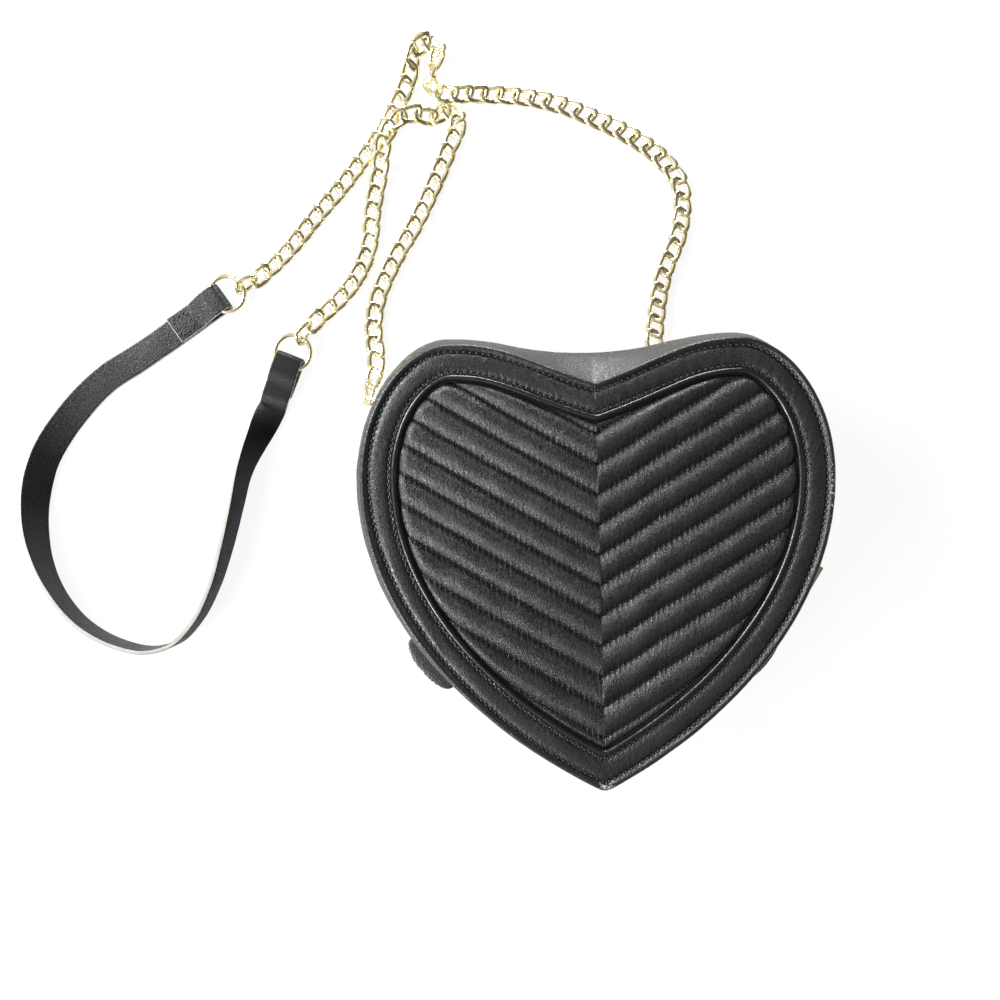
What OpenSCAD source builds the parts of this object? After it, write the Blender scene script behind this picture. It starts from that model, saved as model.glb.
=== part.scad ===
// Heart shaped purse that lies on its back, with a chain and leather shoulder strap.
// The widest line of the heart runs along X, the tip points along -Y and the front faces +Z.

/* [Heart] */
// Width of the front at its widest line
heart_w = 190; // [160:1:220]
// Height of the lobes above the widest line
lobe_h = 54.7; // [50:0.1:62]
// Height of the notch above the widest line
notch_h = 37.9; // [32:0.1:42]
// Depth of the tip below the widest line
tip_h = 125.8; // [110:0.1:145]
// Thickness of the purse from its back to its front
depth = 57; // [50:1:70]
// How far the gusset stands out of the outline at the zip
bulge = 4.5; // [3.5:0.1:6]
// Height of the lobes at the zip, above the widest line
zip_lobe_h = 60.4; // [57:0.1:66]
// Height of the shallow saddle at the zip, above the widest line
zip_notch_h = 53.6; // [50:0.1:57]

/* [Leather and boards] */
// Thickness of the gusset and panel leather
leather_t = 1.2; // [0.8:0.1:1.6]
// Thickness of the stiffening boards
board_t = 1.5; // [1:0.1:2]
// Thickness of the lining fabric
lining_t = 0.5; // [0.3:0.1:0.8]
// Width of the flat border round the quilted panel
border_w = 13.9; // [10:0.1:18]
// Thickness of the padded border
border_t = 2.9; // [2:0.1:3.6]
// Diameter of the piping between border and quilted panel
piping_d = 3; // [2.4:0.1:3.6]
// Diameter of the piping round the rims
rim_d = 2.6; // [2:0.1:3.2]
// Gap between sewn pieces
seam_gap = 0.2; // [0.15:0.05:0.3]

/* [Quilting] */
// Distance between two stitched lines along the middle of the front
chevron_pitch = 12.15; // [9:0.05:16]
// Slope of the stitched lines
chevron_angle = 31; // [20:1:40]
// Height of the first stitched line's lowest point above the widest line
first_apex = 17.3; // [10:0.1:22]
// Height of the padded channels above the stitched lines
puff_h = 2.1; // [1:0.1:3]
// Thickness of the foam under the quilted leather
foam_t = 1; // [0.6:0.1:1.6]

/* [Zip] */
// Width of the open strip between the two gusset edges
zip_gap = 10; // [9:0.1:14]
// Width of one coil row
coil_w = 2.1; // [1.6:0.1:2.4]
// Thickness of the coil rows
coil_t = 1.6; // [1.2:0.1:2]
// Slot between the two coil rows
coil_slot = 1; // [0.8:0.1:1.2]
// Thickness of the zip tape
tape_t = 0.6; // [0.4:0.1:0.8]
// How far the tape runs in under the gusset
tape_lap = 5; // [3:0.5:7]
// Depth of the zip's two ends below the widest line
zip_end_h = 77; // [70:1:84]
// Length of the slider's body along the zip
slider_l = 12; // [9:0.5:14]
// Thickness of the slider's two plates
slider_t = 1.1; // [0.8:0.1:1.4]
// Gap between the leather tab and the slider of the closed zip
slider_clear = 0.4; // [0.3:0.1:2]
// Distance that the slider travels along the flank
slider_run = 46; // [30:1:55]
// Length of the pull
pull_l = 26; // [18:1:30]
// Width of the pull
pull_w = 6; // [4.5:0.5:7]
// Length of the leather tab over each end of the zip
end_tab_l = 28; // [22:1:34]
// How far the leather tab stands out of the gusset
end_tab_h = 7; // [5:0.5:10]

/* [Rings and straps] */
// Distance of each D-ring from the middle
d_ring_x = 35; // [28:1:42]
// Wire diameter of the D-rings and O-rings
ring_wire = 2.1; // [1.8:0.1:2.6]
// Inside width of the D-ring
d_ring_w = 12; // [10:0.5:13]
// Inside diameter of the O-rings
o_ring_d = 14.3; // [12:0.1:17]
// Width of the flat chain
chain_w = 8.6; // [7:0.1:10]
// Thickness of the flat chain
chain_t = 3.2; // [2.6:0.1:3.8]
// Wire diameter of the chain's links
link_wire = 1.5; // [1.2:0.1:1.8]
// Inside length of a chain link
link_l = 5.4; // [5:0.1:6.5]
// Inside width of a chain link
link_in = 3.6; // [3.4:0.1:4.5]
// Width of the leather strap
strap_w = 12.6; // [10:0.1:13]
// Thickness of the leather strap
strap_t = 2; // [1.6:0.1:2.4]
// Length of the folded and sewn strap end
fold_l = 26; // [20:1:34]

/* [Hidden] */

leather = "#2b2c2e";
fabric = "#17181a";
gold = "#d9c078";
card = "#8a7a60";

overrun = 1;
half_w = heart_w / 2;
steps = 10;
lobe_x_share = 0.61;
arm_angle = 18.6;
tip_angle = 26.6;
// Lengths of the curve handles, as shares of half the width
handle_shares = [0.3, 0.24, 0.175, 0.35, 0.555, 0.63];

// One half of the outline is three curves: notch to lobe, lobe to widest line, widest line to tip.
function half_curves(w, notch, lobe, tip, arm) = [
    [[0, notch], [w * handle_shares[0] * cos(arm), notch + w * handle_shares[0] * sin(arm)],
        [w * (lobe_x_share - handle_shares[1]), lobe], [w * lobe_x_share, lobe]],
    [[w * lobe_x_share, lobe], [w * (lobe_x_share + handle_shares[2]), lobe],
        [w, w * handle_shares[3]], [w, 0]],
    [[w, 0], [w, -w * handle_shares[4]],
        [w * handle_shares[5] * cos(tip_angle), w * handle_shares[5] * sin(tip_angle) - tip], [0, -tip]]];
rim_curves = half_curves(half_w, notch_h, lobe_h, tip_h, arm_angle);
zip_curves = half_curves(half_w + bulge, zip_notch_h, zip_lobe_h, tip_h + bulge, 0);

function bez(p, t) = pow(1 - t, 3) * p[0] + 3 * pow(1 - t, 2) * t * p[1]
    + 3 * (1 - t) * t * t * p[2] + t * t * t * p[3];
function slope(p, t) = pow(1 - t, 2) * (p[1] - p[0]) + 2 * (1 - t) * t * (p[2] - p[1])
    + t * t * (p[3] - p[2]);
function unit(v) = v / norm(v);
function part_of(u) = min(floor(u), 2);
// Place and outward direction at u, which runs from 0 at the notch to 3 at the tip
function curve_at(c, u) = bez(c[part_of(u)], u - part_of(u));
function out_at(c, u) = let(d = unit(slope(c[part_of(u)], u - part_of(u)))) [-d[1], d[0]];
// The same moved outwards by d, and kept on the middle line at the notch and at the tip
function moved(c, u, d) = let(p = curve_at(c, u), n = out_at(c, u))
    (u == 0 || u == 3) ? [0, p[1] + d / n[1]] : p + d * n;
function flip(p) = [-p[0], p[1]];
function mirrored(half) = concat(half, [for (i = [len(half) - 2:-1:1]) flip(half[i])]);
function outline(c, d) = let(low = moved(c, 3, d)[1])
    mirrored([for (i = [0:3 * steps]) let(p = moved(c, i / steps, d))
        if (i == 0 || i == 3 * steps || (p[0] > 0 && p[1] > low)) p]);

// Levels of the pieces
front_top = depth;
board_top = front_top - border_t;
board_low = board_top - board_t;
lining_low = board_low - lining_t;
back_board_top = leather_t + board_t;
back_lining_top = back_board_top + lining_t;
gusset_top = front_top - rim_d - seam_gap;
gusset_low = rim_d + seam_gap;
zip_z = depth / 2;
edge_up = zip_z + zip_gap / 2;
edge_down = zip_z - zip_gap / 2;
rim_in = -rim_d - seam_gap;
panel_in = -border_w - piping_d / 2 - seam_gap;
wall_out = -rim_d / 4;

// The gusset leaves the rim upright and leans out to the zip's outline on a quarter wave.
function lean(s) = sin(90 * s);
function rise(z) = min(1, (zip_z - abs(z - zip_z) - gusset_low) / (edge_down - gusset_low));
function wall_point(u, z, d) = let(a = moved(rim_curves, u, wall_out + d),
    b = moved(zip_curves, u, d)) a + (b - a) * lean(rise(z));
// A strip's section at u: the outer face from level z0 to z1, then the inner face back again
function strip_section(u, z0, z1, out, t, levels) = [for (k = [0:2 * levels + 1])
    let(f = (k <= levels ? k : 2 * levels + 1 - k) / levels, d = k <= levels ? out : out - t,
        z = z0 + (z1 - z0) * f, p = wall_point(abs(u), z, d))
    [u < 0 ? -p[0] : p[0], p[1], z]];

// A body swept through sections: seam_closed joins the last section to the first.
module swept(sections, seam_closed) {
    n = len(sections);
    m = len(sections[0]);
    sides = [for (i = [0:n - (seam_closed ? 1 : 2)], j = [0:m - 1])
        let(a = i * m, b = (i + 1) % n * m, k = (j + 1) % m)
        each [[a + j, b + j, b + k], [a + j, b + k, a + k]]];
    cap = [for (j = [0:m / 2 - 2]) each [[j, j + 1, m - 2 - j], [j, m - 2 - j, m - 1 - j]]];
    far = (n - 1) * m;
    ends = seam_closed ? [] : concat(cap, [for (f = cap) [far + f[0], far + f[2], far + f[1]]]);
    polyhedron(points = [for (s = sections) each s], faces = concat(sides, ends), convexity = 6);
}

// Where the zip ends on each side, as u
flank = [for (i = [0:40]) let(u = 2 + i / 40) [-curve_at(zip_curves, u)[1], u]];
zip_end_u = lookup(zip_end_h, flank);
top_us = [for (i = [-3 * steps:3 * steps]) i / (3 * steps) * zip_end_u];
// The coil rows stop a little short of the tape's ends.
coil_share = 0.985;
coil_us = [for (u = top_us) max(-coil_share * zip_end_u, min(coil_share * zip_end_u, u))];
low_steps = 6;
// The lower strip starts a seam's width past the upper ones.
low_end_u = lookup(zip_end_h + seam_gap, flank);
// The lower strip runs from the right end of the zip through the tip to its left end.
low_us = concat([for (i = [0:low_steps]) low_end_u + (3 - low_end_u) * i / low_steps],
    [for (i = [low_steps - 1:-1:0]) -low_end_u - (3 - low_end_u) * i / low_steps]);

module heart_plate(d, t) {
    linear_extrude(t) polygon(outline(rim_curves, d));
}
module heart_ring(d_out, d_in, t) {
    difference() {
        heart_plate(d_out, t);
        translate([0, 0, -overrun]) heart_plate(d_in, t + 2 * overrun);
    }
}
// A round cord that follows the outline at a distance d inside it
module heart_cord(d, size, z) {
    sides = 8;
    swept([for (p = cord_line(d)) [for (j = [0:sides - 1])
        let(a = (j + 0.5) * 360 / sides) [p[0] + p[2] * cos(a) * size / 2,
            p[1] + p[3] * cos(a) * size / 2, z + sin(a) * size / 2]]], true);
}
// Places and outward directions along the outline moved by d
function cord_line(d) = let(pts = outline(rim_curves, d), n = len(pts)) [for (i = [0:n - 1])
    let(a = pts[(i + n - 1) % n], b = pts[i], c = pts[(i + 1) % n], e = unit(b - a), f = unit(c - b),
        g = unit([-e[1] - f[1], e[0] + f[0]]), k = 1 / max(0.5, g * [-e[1], e[0]]))
    [b[0], b[1], g[0] * k, g[1] * k]];

module strip(us, z0, z1, out, t, levels) {
    swept([for (u = us) strip_section(u, z0, z1, out, t, levels)], false);
}
lining_out = -leather_t - seam_gap;
coil_out = lining_out + seam_gap / 2 + coil_t;
wall_levels = 5;
tape_levels = 2;

module back_panel() {
    color(leather) heart_plate(rim_in, leather_t);
}
module back_board() {
    color(card) translate([0, 0, leather_t]) heart_plate(rim_in, board_t);
}
module lining_back() {
    color(fabric) translate([0, 0, back_board_top]) heart_plate(rim_in, lining_t);
}
module back_piping() {
    color(leather) heart_cord(-rim_d / 2, rim_d / cos(180 / 8), rim_d / 2);
}
module back_gusset() {
    color(leather) strip(top_us, gusset_low, edge_down, 0, leather_t, wall_levels);
}
module lining_wall_back() {
    color(fabric) strip(top_us, back_lining_top + seam_gap, edge_down - tape_lap - seam_gap,
        lining_out - seam_gap, lining_t, wall_levels);
}
module zip_tape(z0, z1) {
    color(fabric) strip(top_us, z0, z1, lining_out, tape_t, tape_levels);
}
module zip_tape_back() {
    zip_tape(edge_down - tape_lap, zip_z - coil_slot / 2 - seam_gap);
}
module zip_tape_front() {
    zip_tape(zip_z + coil_slot / 2 + seam_gap, edge_up + tape_lap);
}
module coil_row(z0) {
    color(fabric) strip(coil_us, z0, z0 + coil_w, coil_out, coil_t, 1);
}
module zip_coil_back() {
    coil_row(zip_z - coil_slot / 2 - coil_w);
}
module zip_coil_front() {
    coil_row(zip_z + coil_slot / 2);
}
module bottom_gusset() {
    color(leather) strip(low_us, gusset_low, gusset_top, 0, leather_t, 2 * wall_levels);
}
module lining_bottom() {
    color(fabric) strip(low_us, back_lining_top + seam_gap, lining_low - seam_gap, lining_out,
        lining_t, 2 * wall_levels);
}
// A flat leather fin over each end of the zip
module zip_end_tab(side) {
    p = wall_point(zip_end_u, zip_z, 0);
    n = out_at(zip_curves, zip_end_u);
    fin_t = 2 * leather_t;
    color(leather) mirror([side < 0 ? 1 : 0, 0, 0]) translate([p[0], p[1], zip_z - fin_t / 2])
        rotate(atan2(n[1], n[0])) linear_extrude(fin_t)
        polygon([for (a = [-90:10:90])
            [seam_gap + end_tab_h * pow(cos(a), 0.7), end_tab_l / 2 * sin(a)]]);
}
module zip_end_tab_left() {
    zip_end_tab(-1);
}
module zip_end_tab_right() {
    zip_end_tab(1);
}

// The D-ring hangs from a bar in a leather loop on the back gusset. The loop's tail lies on the
// gusset, so the wall's lean and turn at the seat set the place of the bar.
d_r = d_ring_w / 2 + ring_wire / 2;
bar_z = link_wire / 2 + chain_t / 2 + link_in / 2 + d_r;
loop_gap = 0.08;
sleeve_r = ring_wire / 2 + loop_gap + leather_t;
tail_l = 7;
seat_clear = 2 * seam_gap;
loop_w = d_ring_w - ring_wire;
seat_u = lookup(d_ring_x, [for (i = [0:20]) [wall_point(i / 20, bar_z, 0)[0], i / 20]]);
seat = wall_point(seat_u, bar_z, 0);
seat_up = wall_point(seat_u, bar_z + tail_l, 0);
seat_side = wall_point(seat_u + 1 / steps, bar_z, 0);
seat_turn = atan2(seat_side[1] - seat[1], seat_side[0] - seat[0]);
tail_lean = atan2(norm(seat_up - seat), tail_l);
bar_out = (sleeve_r + seat_clear) / cos(tail_lean);
bar_at = seat + bar_out * [-sin(seat_turn), cos(seat_turn)];
// Local frame at the bar: X along the wall, Y outwards, Z up
module at_bar(side) {
    mirror([side < 0 ? 1 : 0, 0, 0]) translate([bar_at[0], bar_at[1], bar_z]) rotate(seat_turn)
        children();
}
module d_ring(side) {
    color(gold) at_bar(side) {
        rotate([0, 90, 0]) cylinder(h = 2 * d_r, d = ring_wire, center = true, $fn = 32);
        for (s = [-1, 1]) translate([s * d_r, 0, 0]) sphere(d = ring_wire, $fn = 32);
        rotate([-90, 0, 0]) rotate_extrude(angle = 180, $fn = 64) translate([d_r, 0])
            circle(d = ring_wire, $fn = 24);
    }
}
module d_ring_left() {
    d_ring(-1);
}
module d_ring_right() {
    d_ring(1);
}
module d_ring_tab(side) {
    color(leather) at_bar(side) difference() {
        union() {
            rotate([0, 90, 0]) cylinder(r = sleeve_r, h = loop_w, center = true, $fn = 48);
            rotate([-tail_lean, 0, 0]) translate([-loop_w / 2, -sleeve_r, 0])
                cube([loop_w, 2 * leather_t, tail_l]);
        }
        rotate([0, 90, 0]) cylinder(r = ring_wire / 2 + loop_gap, h = loop_w + overrun,
            center = true, $fn = 48);
    }
}
module d_ring_tab_left() {
    d_ring_tab(-1);
}
module d_ring_tab_right() {
    d_ring_tab(1);
}

module front_board() {
    color(card) translate([0, 0, board_low]) heart_plate(rim_in, board_t);
}
module lining_front() {
    color(fabric) translate([0, 0, lining_low]) heart_plate(rim_in, lining_t);
}
module quilt_foam() {
    color("#5a5a5a") translate([0, 0, board_top]) heart_plate(panel_in, foam_t);
}
// Scalloped profile across the channels: one arch for each pitch. The stitched lines lie a little
// below the border's face, by what the arches stand out of it.
quilt_rise = 0.9;
seam_h = border_t - foam_t - puff_h + quilt_rise;
row_pitch = chevron_pitch * cos(chevron_angle);
rows = 2 * ceil(tip_h / row_pitch);
arch_steps = 6;
module channels(t) {
    linear_extrude(heart_w) polygon(concat([[-rows / 2 * row_pitch, 0]],
        [for (r = [0:rows - 1], k = [0:arch_steps - (r == rows - 1 ? 0 : 1)])
            [(r - rows / 2 + k / arch_steps) * row_pitch,
                t + puff_h * pow(sin(180 * k / arch_steps), 0.7)]],
        [[rows / 2 * row_pitch, 0]]));
}

module quilted_panel() {
    color(leather) translate([0, 0, board_top + foam_t]) intersection() {
        for (side = [0, 1]) mirror([side, 0, 0]) intersection() {
            translate([0, first_apex, 0]) rotate(chevron_angle) translate([-heart_w / 2, 0, 0])
                rotate([90, 0, 90]) channels(seam_h);
            translate([0, -2 * tip_h, -overrun]) cube([heart_w, 4 * tip_h, depth]);
        }
        translate([0, 0, -overrun]) heart_plate(panel_in, depth);
    }
}
module front_border() {
    color(leather) translate([0, 0, board_top])
        heart_ring(rim_in, -border_w + piping_d / 2 + seam_gap, border_t);
}
module panel_piping() {
    color(leather) heart_cord(-border_w, piping_d, board_top + piping_d / 2 + seam_gap);
}
module front_piping() {
    color(leather) heart_cord(-rim_d / 2, rim_d, front_top - rim_d / 2);
}
module front_gusset() {
    color(leather) strip(top_us, edge_up, gusset_top, 0, leather_t, wall_levels);
}
module lining_wall_front() {
    color(fabric) strip(top_us, edge_up + tape_lap + seam_gap, lining_low - seam_gap,
        lining_out - seam_gap, lining_t, wall_levels);
}

// The slider runs on the arc through three places of the zip's line on the right flank.
run_share = 0.3;
zip_marks = [for (i = [0:60]) zip_end_u * (1 - i / 60 * run_share)];
function run_to(i) = i == 0 ? 0 : run_to(i - 1)
    + norm(curve_at(zip_curves, zip_marks[i]) - curve_at(zip_curves, zip_marks[i - 1]));
run_table = [for (i = [0:60]) [run_to(i), zip_marks[i]]];
slider_rest = end_tab_l / 2 + slider_l / 2 + slider_clear;
function on_zip(run) = curve_at(zip_curves, lookup(run, run_table));
arc_a = on_zip(slider_rest);
arc_b = on_zip(slider_rest + slider_run / 2);
arc_c = on_zip(slider_rest + slider_run);
function cross2(a, b) = a[0] * b[1] - a[1] * b[0];
function arc_centre(a, b, c) = let(p = b - a, q = c - a, k = 2 * cross2(p, q))
    a + [q[1] * (p * p) - p[1] * (q * q), p[0] * (q * q) - q[0] * (p * p)] / k;
slider_axis = arc_centre(arc_a, arc_b, arc_c);
slider_turn = 2 * asin(norm(arc_c - arc_a) / 2 / norm(arc_a - slider_axis));
slider_way = atan2(arc_a[1] - slider_axis[1], arc_a[0] - slider_axis[0]);
plate_gap = 0.35;
slider_side = 1;
slider_w = zip_gap - 2 * slider_side;
post_clear = 0.15;
post_w = coil_slot - 2 * post_clear;
crown_h = 3.4;
crown_l = 5;
crown_w = 1.8;
pin_d = 1.5;
pin_gap = 0.06;
pin_out = coil_out + plate_gap + slider_t + crown_h - pin_d;
// Local frame at the slider: X outwards, Y along the zip towards the lobes, Z as the purse's
module at_slider() {
    translate([arc_a[0], arc_a[1], zip_z]) rotate(slider_way) children();
}
module slider_plate() {
    rotate([0, 90, 0]) linear_extrude(slider_t) polygon([[-slider_w / 2, slider_l / 2],
        [slider_w / 2, slider_l / 2], [slider_w / 2, slider_l / 6], [slider_w / 3, -slider_l / 2],
        [-slider_w / 3, -slider_l / 2], [-slider_w / 2, slider_l / 6]]);
}
module zip_slider() {
    inner = coil_out - coil_t - tape_t - seam_gap - plate_gap - slider_t;
    outer = coil_out + plate_gap;
    color(gold) at_slider() difference() {
        union() {
            translate([inner, 0, 0]) slider_plate();
            translate([outer, 0, 0]) slider_plate();
            translate([inner, slider_l / 6, -post_w / 2])
                cube([outer - inner + slider_t, slider_l / 3, post_w]);
            translate([outer, -crown_l / 2, -crown_w / 2]) cube([slider_t + crown_h, crown_l, crown_w]);
        }
        translate([pin_out, 0, -crown_w]) cylinder(d = pin_d + 2 * pin_gap, h = 2 * crown_w, $fn = 32);
    }
}
arm_t = 1;
arm_gap = 0.2;
neck_clear = 1;
module zip_pull() {
    arm_z = crown_w / 2 + arm_gap;
    eye_d = 2 * pin_d;
    neck = crown_l / 2 + neck_clear;
    color(gold) at_slider() translate([pin_out, 0, 0]) {
        for (s = [-1, 1]) translate([0, 0, s * (arm_z + arm_t / 2)]) {
            cylinder(d = eye_d, h = arm_t, center = true, $fn = 32);
            translate([-pin_d / 2, 0, -arm_t / 2]) cube([pin_d, neck + overrun, arm_t]);
        }
        cylinder(d = pin_d, h = 2 * arm_z + arm_t, center = true, $fn = 32);
        translate([-pin_d / 2, neck, -pull_w / 2]) cube([pin_d, pull_l - neck, pull_w]);
    }
}

// Places of the chains and the strap, chosen by hand: x, y, lift off the surface and the roll of
// the wide side, which is 0 where it lies flat, 90 on its edge and 180 where it is turned over.
chain_left_route = [[-36, 57.6, 0, 0], [-42, 58.6, 0, 0], [-50, 60, 0, 0], [-58, 60.2, 0, 0],
    [-66, 58.6, 0, 20], [-75, 55, 0, 60], [-83, 49, 0, 85], [-89, 42, 0, 90], [-94, 38, 0, 90],
    [-98, 39, 0, 80], [-98.5, 44, 0, 50], [-96, 51, 0, 10], [-95, 60, 0, 0], [-96, 72, 0, 0],
    [-94, 86, 0, 0], [-86, 104, 0, 0], [-75, 122, 0, 0], [-66, 140, 0, 0], [-58, 158, 0, 0],
    [-54, 169, 0, 0], [-58, 175, 0, 0], [-66, 171, 0, 0], [-74, 172, 2.6, 10], [-81, 169, 5, 0],
    [-88, 160, 5, 0], [-91, 146, 1.4, 0], [-95, 128, 0, 0], [-97, 112, 0, 0], [-103, 98, 0, 0],
    [-112, 87, 0.2, 0], [-121, 79, 1, 0], [-128, 71.5, 2, 0]];
chain_right_route = [[33.4, 61.8, 2.4, 0], [35.2, 69, 1, 0], [37.4, 84, 0, 0], [41, 98, 0, 0], [47, 112, 0, 0],
    [49.6, 125, 0, 0], [48.4, 138, 0, 0], [40, 149.6, 0, 0], [27, 159.6, 0, 0], [10, 168.6, 0, 0],
    [-8, 176.2, 0, 0], [-25, 180, 0, 0], [-40, 181, 0.6, 0], [-51, 179.8, 4, 0],
    [-59.5, 179.6, 4.4, 10], [-65.6, 184, 1.2, 40], [-66, 191, 0, 60], [-62.6, 198.5, 0, 75],
    [-65, 205, 0, 90], [-71.5, 203.5, 0, 85], [-74, 196.5, 0, 55], [-77.5, 186, 0, 20],
    [-84, 174, 0, 0], [-91.5, 162, 0, 0], [-101, 150, 0, 0], [-110, 139, 0, 0], [-121, 127, 0, 0],
    [-133, 113, 0, 0], [-144, 102, 0.5, 0], [-154.6, 94.6, 2, 0]];
strap_route = [[-186.3, 75.6, 0, 0], [-194, 70.4, 0, 0], [-207, 62, 0, 0], [-220, 54, 0, 4],
    [-237, 37, 0, 12], [-250, 15, 0, 35], [-254, -12, 0, 60], [-247, -41, 0, 85], [-233, -60, 0, 90],
    [-216, -70, 0, 90], [-202, -73, 0, 90], [-190, -70, 0, 90], [-180, -60, 0, 90],
    [-172, -45, 0, 92], [-166, -27, 0, 97], [-161, -8, 0, 101], [-157, 8, 0, 108],
    [-148.5, 27.6, 0, 142], [-144.2, 37.7, 0, 180]];
cord_clear = 0.1;
// Section of a flat cord: a rounded bar, wide by thick, with eight sides
function bar_section(w, t) = [[w / 2 - t / 4, -t / 2], [w / 2, -t / 4], [w / 2, t / 4],
    [w / 2 - t / 4, t / 2], [t / 4 - w / 2, t / 2], [-w / 2, t / 4], [-w / 2, -t / 4],
    [t / 4 - w / 2, -t / 2]];
module flat_cord(route, w, t) {
    n = len(route);
    at = [for (p = route) [p[0], p[1], p[2] + w / 2 * sin(p[3]) + t / 2 * abs(cos(p[3])) + cord_clear]];
    swept([for (i = [0:n - 1])
        let(way = unit(at[min(i + 1, n - 1)] - at[max(i - 1, 0)]), side = unit([way[1], -way[0], 0]),
            up = cross(side, way), r = route[i][3], wide = side * cos(r) + up * sin(r),
            thin = up * cos(r) - side * sin(r))
        [for (q = bar_section(w, t)) at[i] - q[0] * wide + q[1] * thin]], false);
}
module chain_left() {
    color(gold) flat_cord(chain_left_route, chain_w, chain_t);
}
module chain_right() {
    color(gold) flat_cord(chain_right_route, chain_w, chain_t);
}
module strap() {
    color(leather) flat_cord(strap_route, strap_w, strap_t);
}

// The link that hooks each chain into its D-ring: two half rings and two straight sides
module end_link(side) {
    r = (link_in + link_wire) / 2;
    l = link_l - link_in;
    color(gold) at_bar(side) translate([0, 0, -d_r]) rotate([0, 90, 0]) {
        for (s = [0, 180]) rotate(s) {
            translate([0, l / 2, 0]) rotate_extrude(angle = 180, $fn = 48) translate([r, 0])
                circle(d = link_wire, $fn = 20);
            translate([r, l / 2, 0]) rotate([90, 0, 0]) cylinder(d = link_wire, h = l, $fn = 20);
        }
    }
}
module end_link_left() {
    end_link(-1);
}
module end_link_right() {
    end_link(1);
}

// Each O-ring joins a chain to the folded end of the strap.
o_r = (o_ring_d + ring_wire) / 2;
fold_slot_l = 6.4;
fold_clear = 0.2;
ring_z = strap_t + fold_clear + ring_wire / 2;
o_left = [-133.5, 63];
o_left_way = -113;
o_right = [-163.5, 91];
o_right_way = -146;
module o_ring(at) {
    color(gold) translate([at[0], at[1], ring_z])
        rotate_extrude($fn = 96) translate([o_r, 0]) circle(d = ring_wire, $fn = 24);
}
module o_ring_left() {
    o_ring(o_left);
}
module o_ring_right() {
    o_ring(o_right);
}
// The fold goes round the ring's wire and is sewn down on the strap. Local X runs away from the ring.
module strap_fold(at, way) {
    r = strap_t + fold_clear + ring_wire / 2;
    slot_h = ring_wire + 2 * fold_clear;
    inner_r = o_r - ring_wire / 2;
    start = sqrt(inner_r * inner_r - strap_w * strap_w / 4) - fold_clear - strap_t;
    color(leather) translate([at[0], at[1], 0]) rotate(way)
        translate([start, strap_w / 2, 0]) rotate([90, 0, 0])
        linear_extrude(strap_w) difference() {
            polygon(concat([for (a = [90:15:270]) [r + r * cos(a), r + r * sin(a)]],
                [[fold_l, 0], [fold_l, 2 * strap_t], [r + 2 * fold_slot_l, 2 * strap_t],
                [r + fold_slot_l, 2 * r]]));
            polygon(concat([for (a = [90:15:270]) [r + slot_h / 2 * cos(a), r + slot_h / 2 * sin(a)]],
                [[r + fold_slot_l, r - slot_h / 2], [r + fold_slot_l, r + slot_h / 2]]));
        }
}
module strap_fold_left() {
    strap_fold(o_left, o_left_way);
}
module strap_fold_right() {
    strap_fold(o_right, o_right_way);
}

// The origin lies under the middle of the purse itself.
loop_top = max(sleeve_r, (2 * leather_t - sleeve_r) * cos(tail_lean) + tail_l * sin(tail_lean));
top_y = bar_at[1] + loop_w / 2 * sin(seat_turn) + loop_top * cos(seat_turn);
low_y = moved(zip_curves, 3, 0)[1];
mid_y = (top_y + low_y) / 2;
module place() {
    translate([0, -mid_y, 0]) children();
}
// Places of the joints, in the frame of the placed purse
echo(shift = mid_y, hinge = -zip_end_h - mid_y, zip_z = zip_z, slider_axis = slider_axis - [0, mid_y],
    slider_turn = slider_turn, slider_way = slider_way,
    pin = arc_a + pin_out * [cos(slider_way), sin(slider_way)] - [0, mid_y],
    bar = [bar_at[0], bar_at[1] - mid_y, bar_z], bar_way = [cos(seat_turn), sin(seat_turn)]);

place() back_panel();
place() back_board();
place() lining_back();
place() back_piping();
place() back_gusset();
place() lining_wall_back();
place() zip_tape_back();
place() zip_coil_back();
place() bottom_gusset();
place() lining_bottom();
place() zip_end_tab_left();
place() zip_end_tab_right();
place() d_ring_tab_left();
place() d_ring_tab_right();
place() front_board();
place() quilt_foam();
place() quilted_panel();
place() front_border();
place() panel_piping();
place() front_piping();
place() front_gusset();
place() lining_front();
place() lining_wall_front();
place() zip_tape_front();
place() zip_coil_front();
place() zip_slider();
place() zip_pull();
place() d_ring_left();
place() d_ring_right();
place() end_link_left();
place() end_link_right();
place() chain_left();
place() chain_right();
place() o_ring_left();
place() o_ring_right();
place() strap_fold_left();
place() strap_fold_right();
place() strap();
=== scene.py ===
"""Heart shaped quilted purse with a curb chain and a leather shoulder strap.

The purse lies on its back. Lengths inside the classes are in millimetres, in the frame of the part's
source; Shell.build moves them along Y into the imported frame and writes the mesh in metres.
"""
import logging
import math
from dataclasses import dataclass
from enum import Enum
from functools import cached_property
from typing import Optional, Sequence

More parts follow.
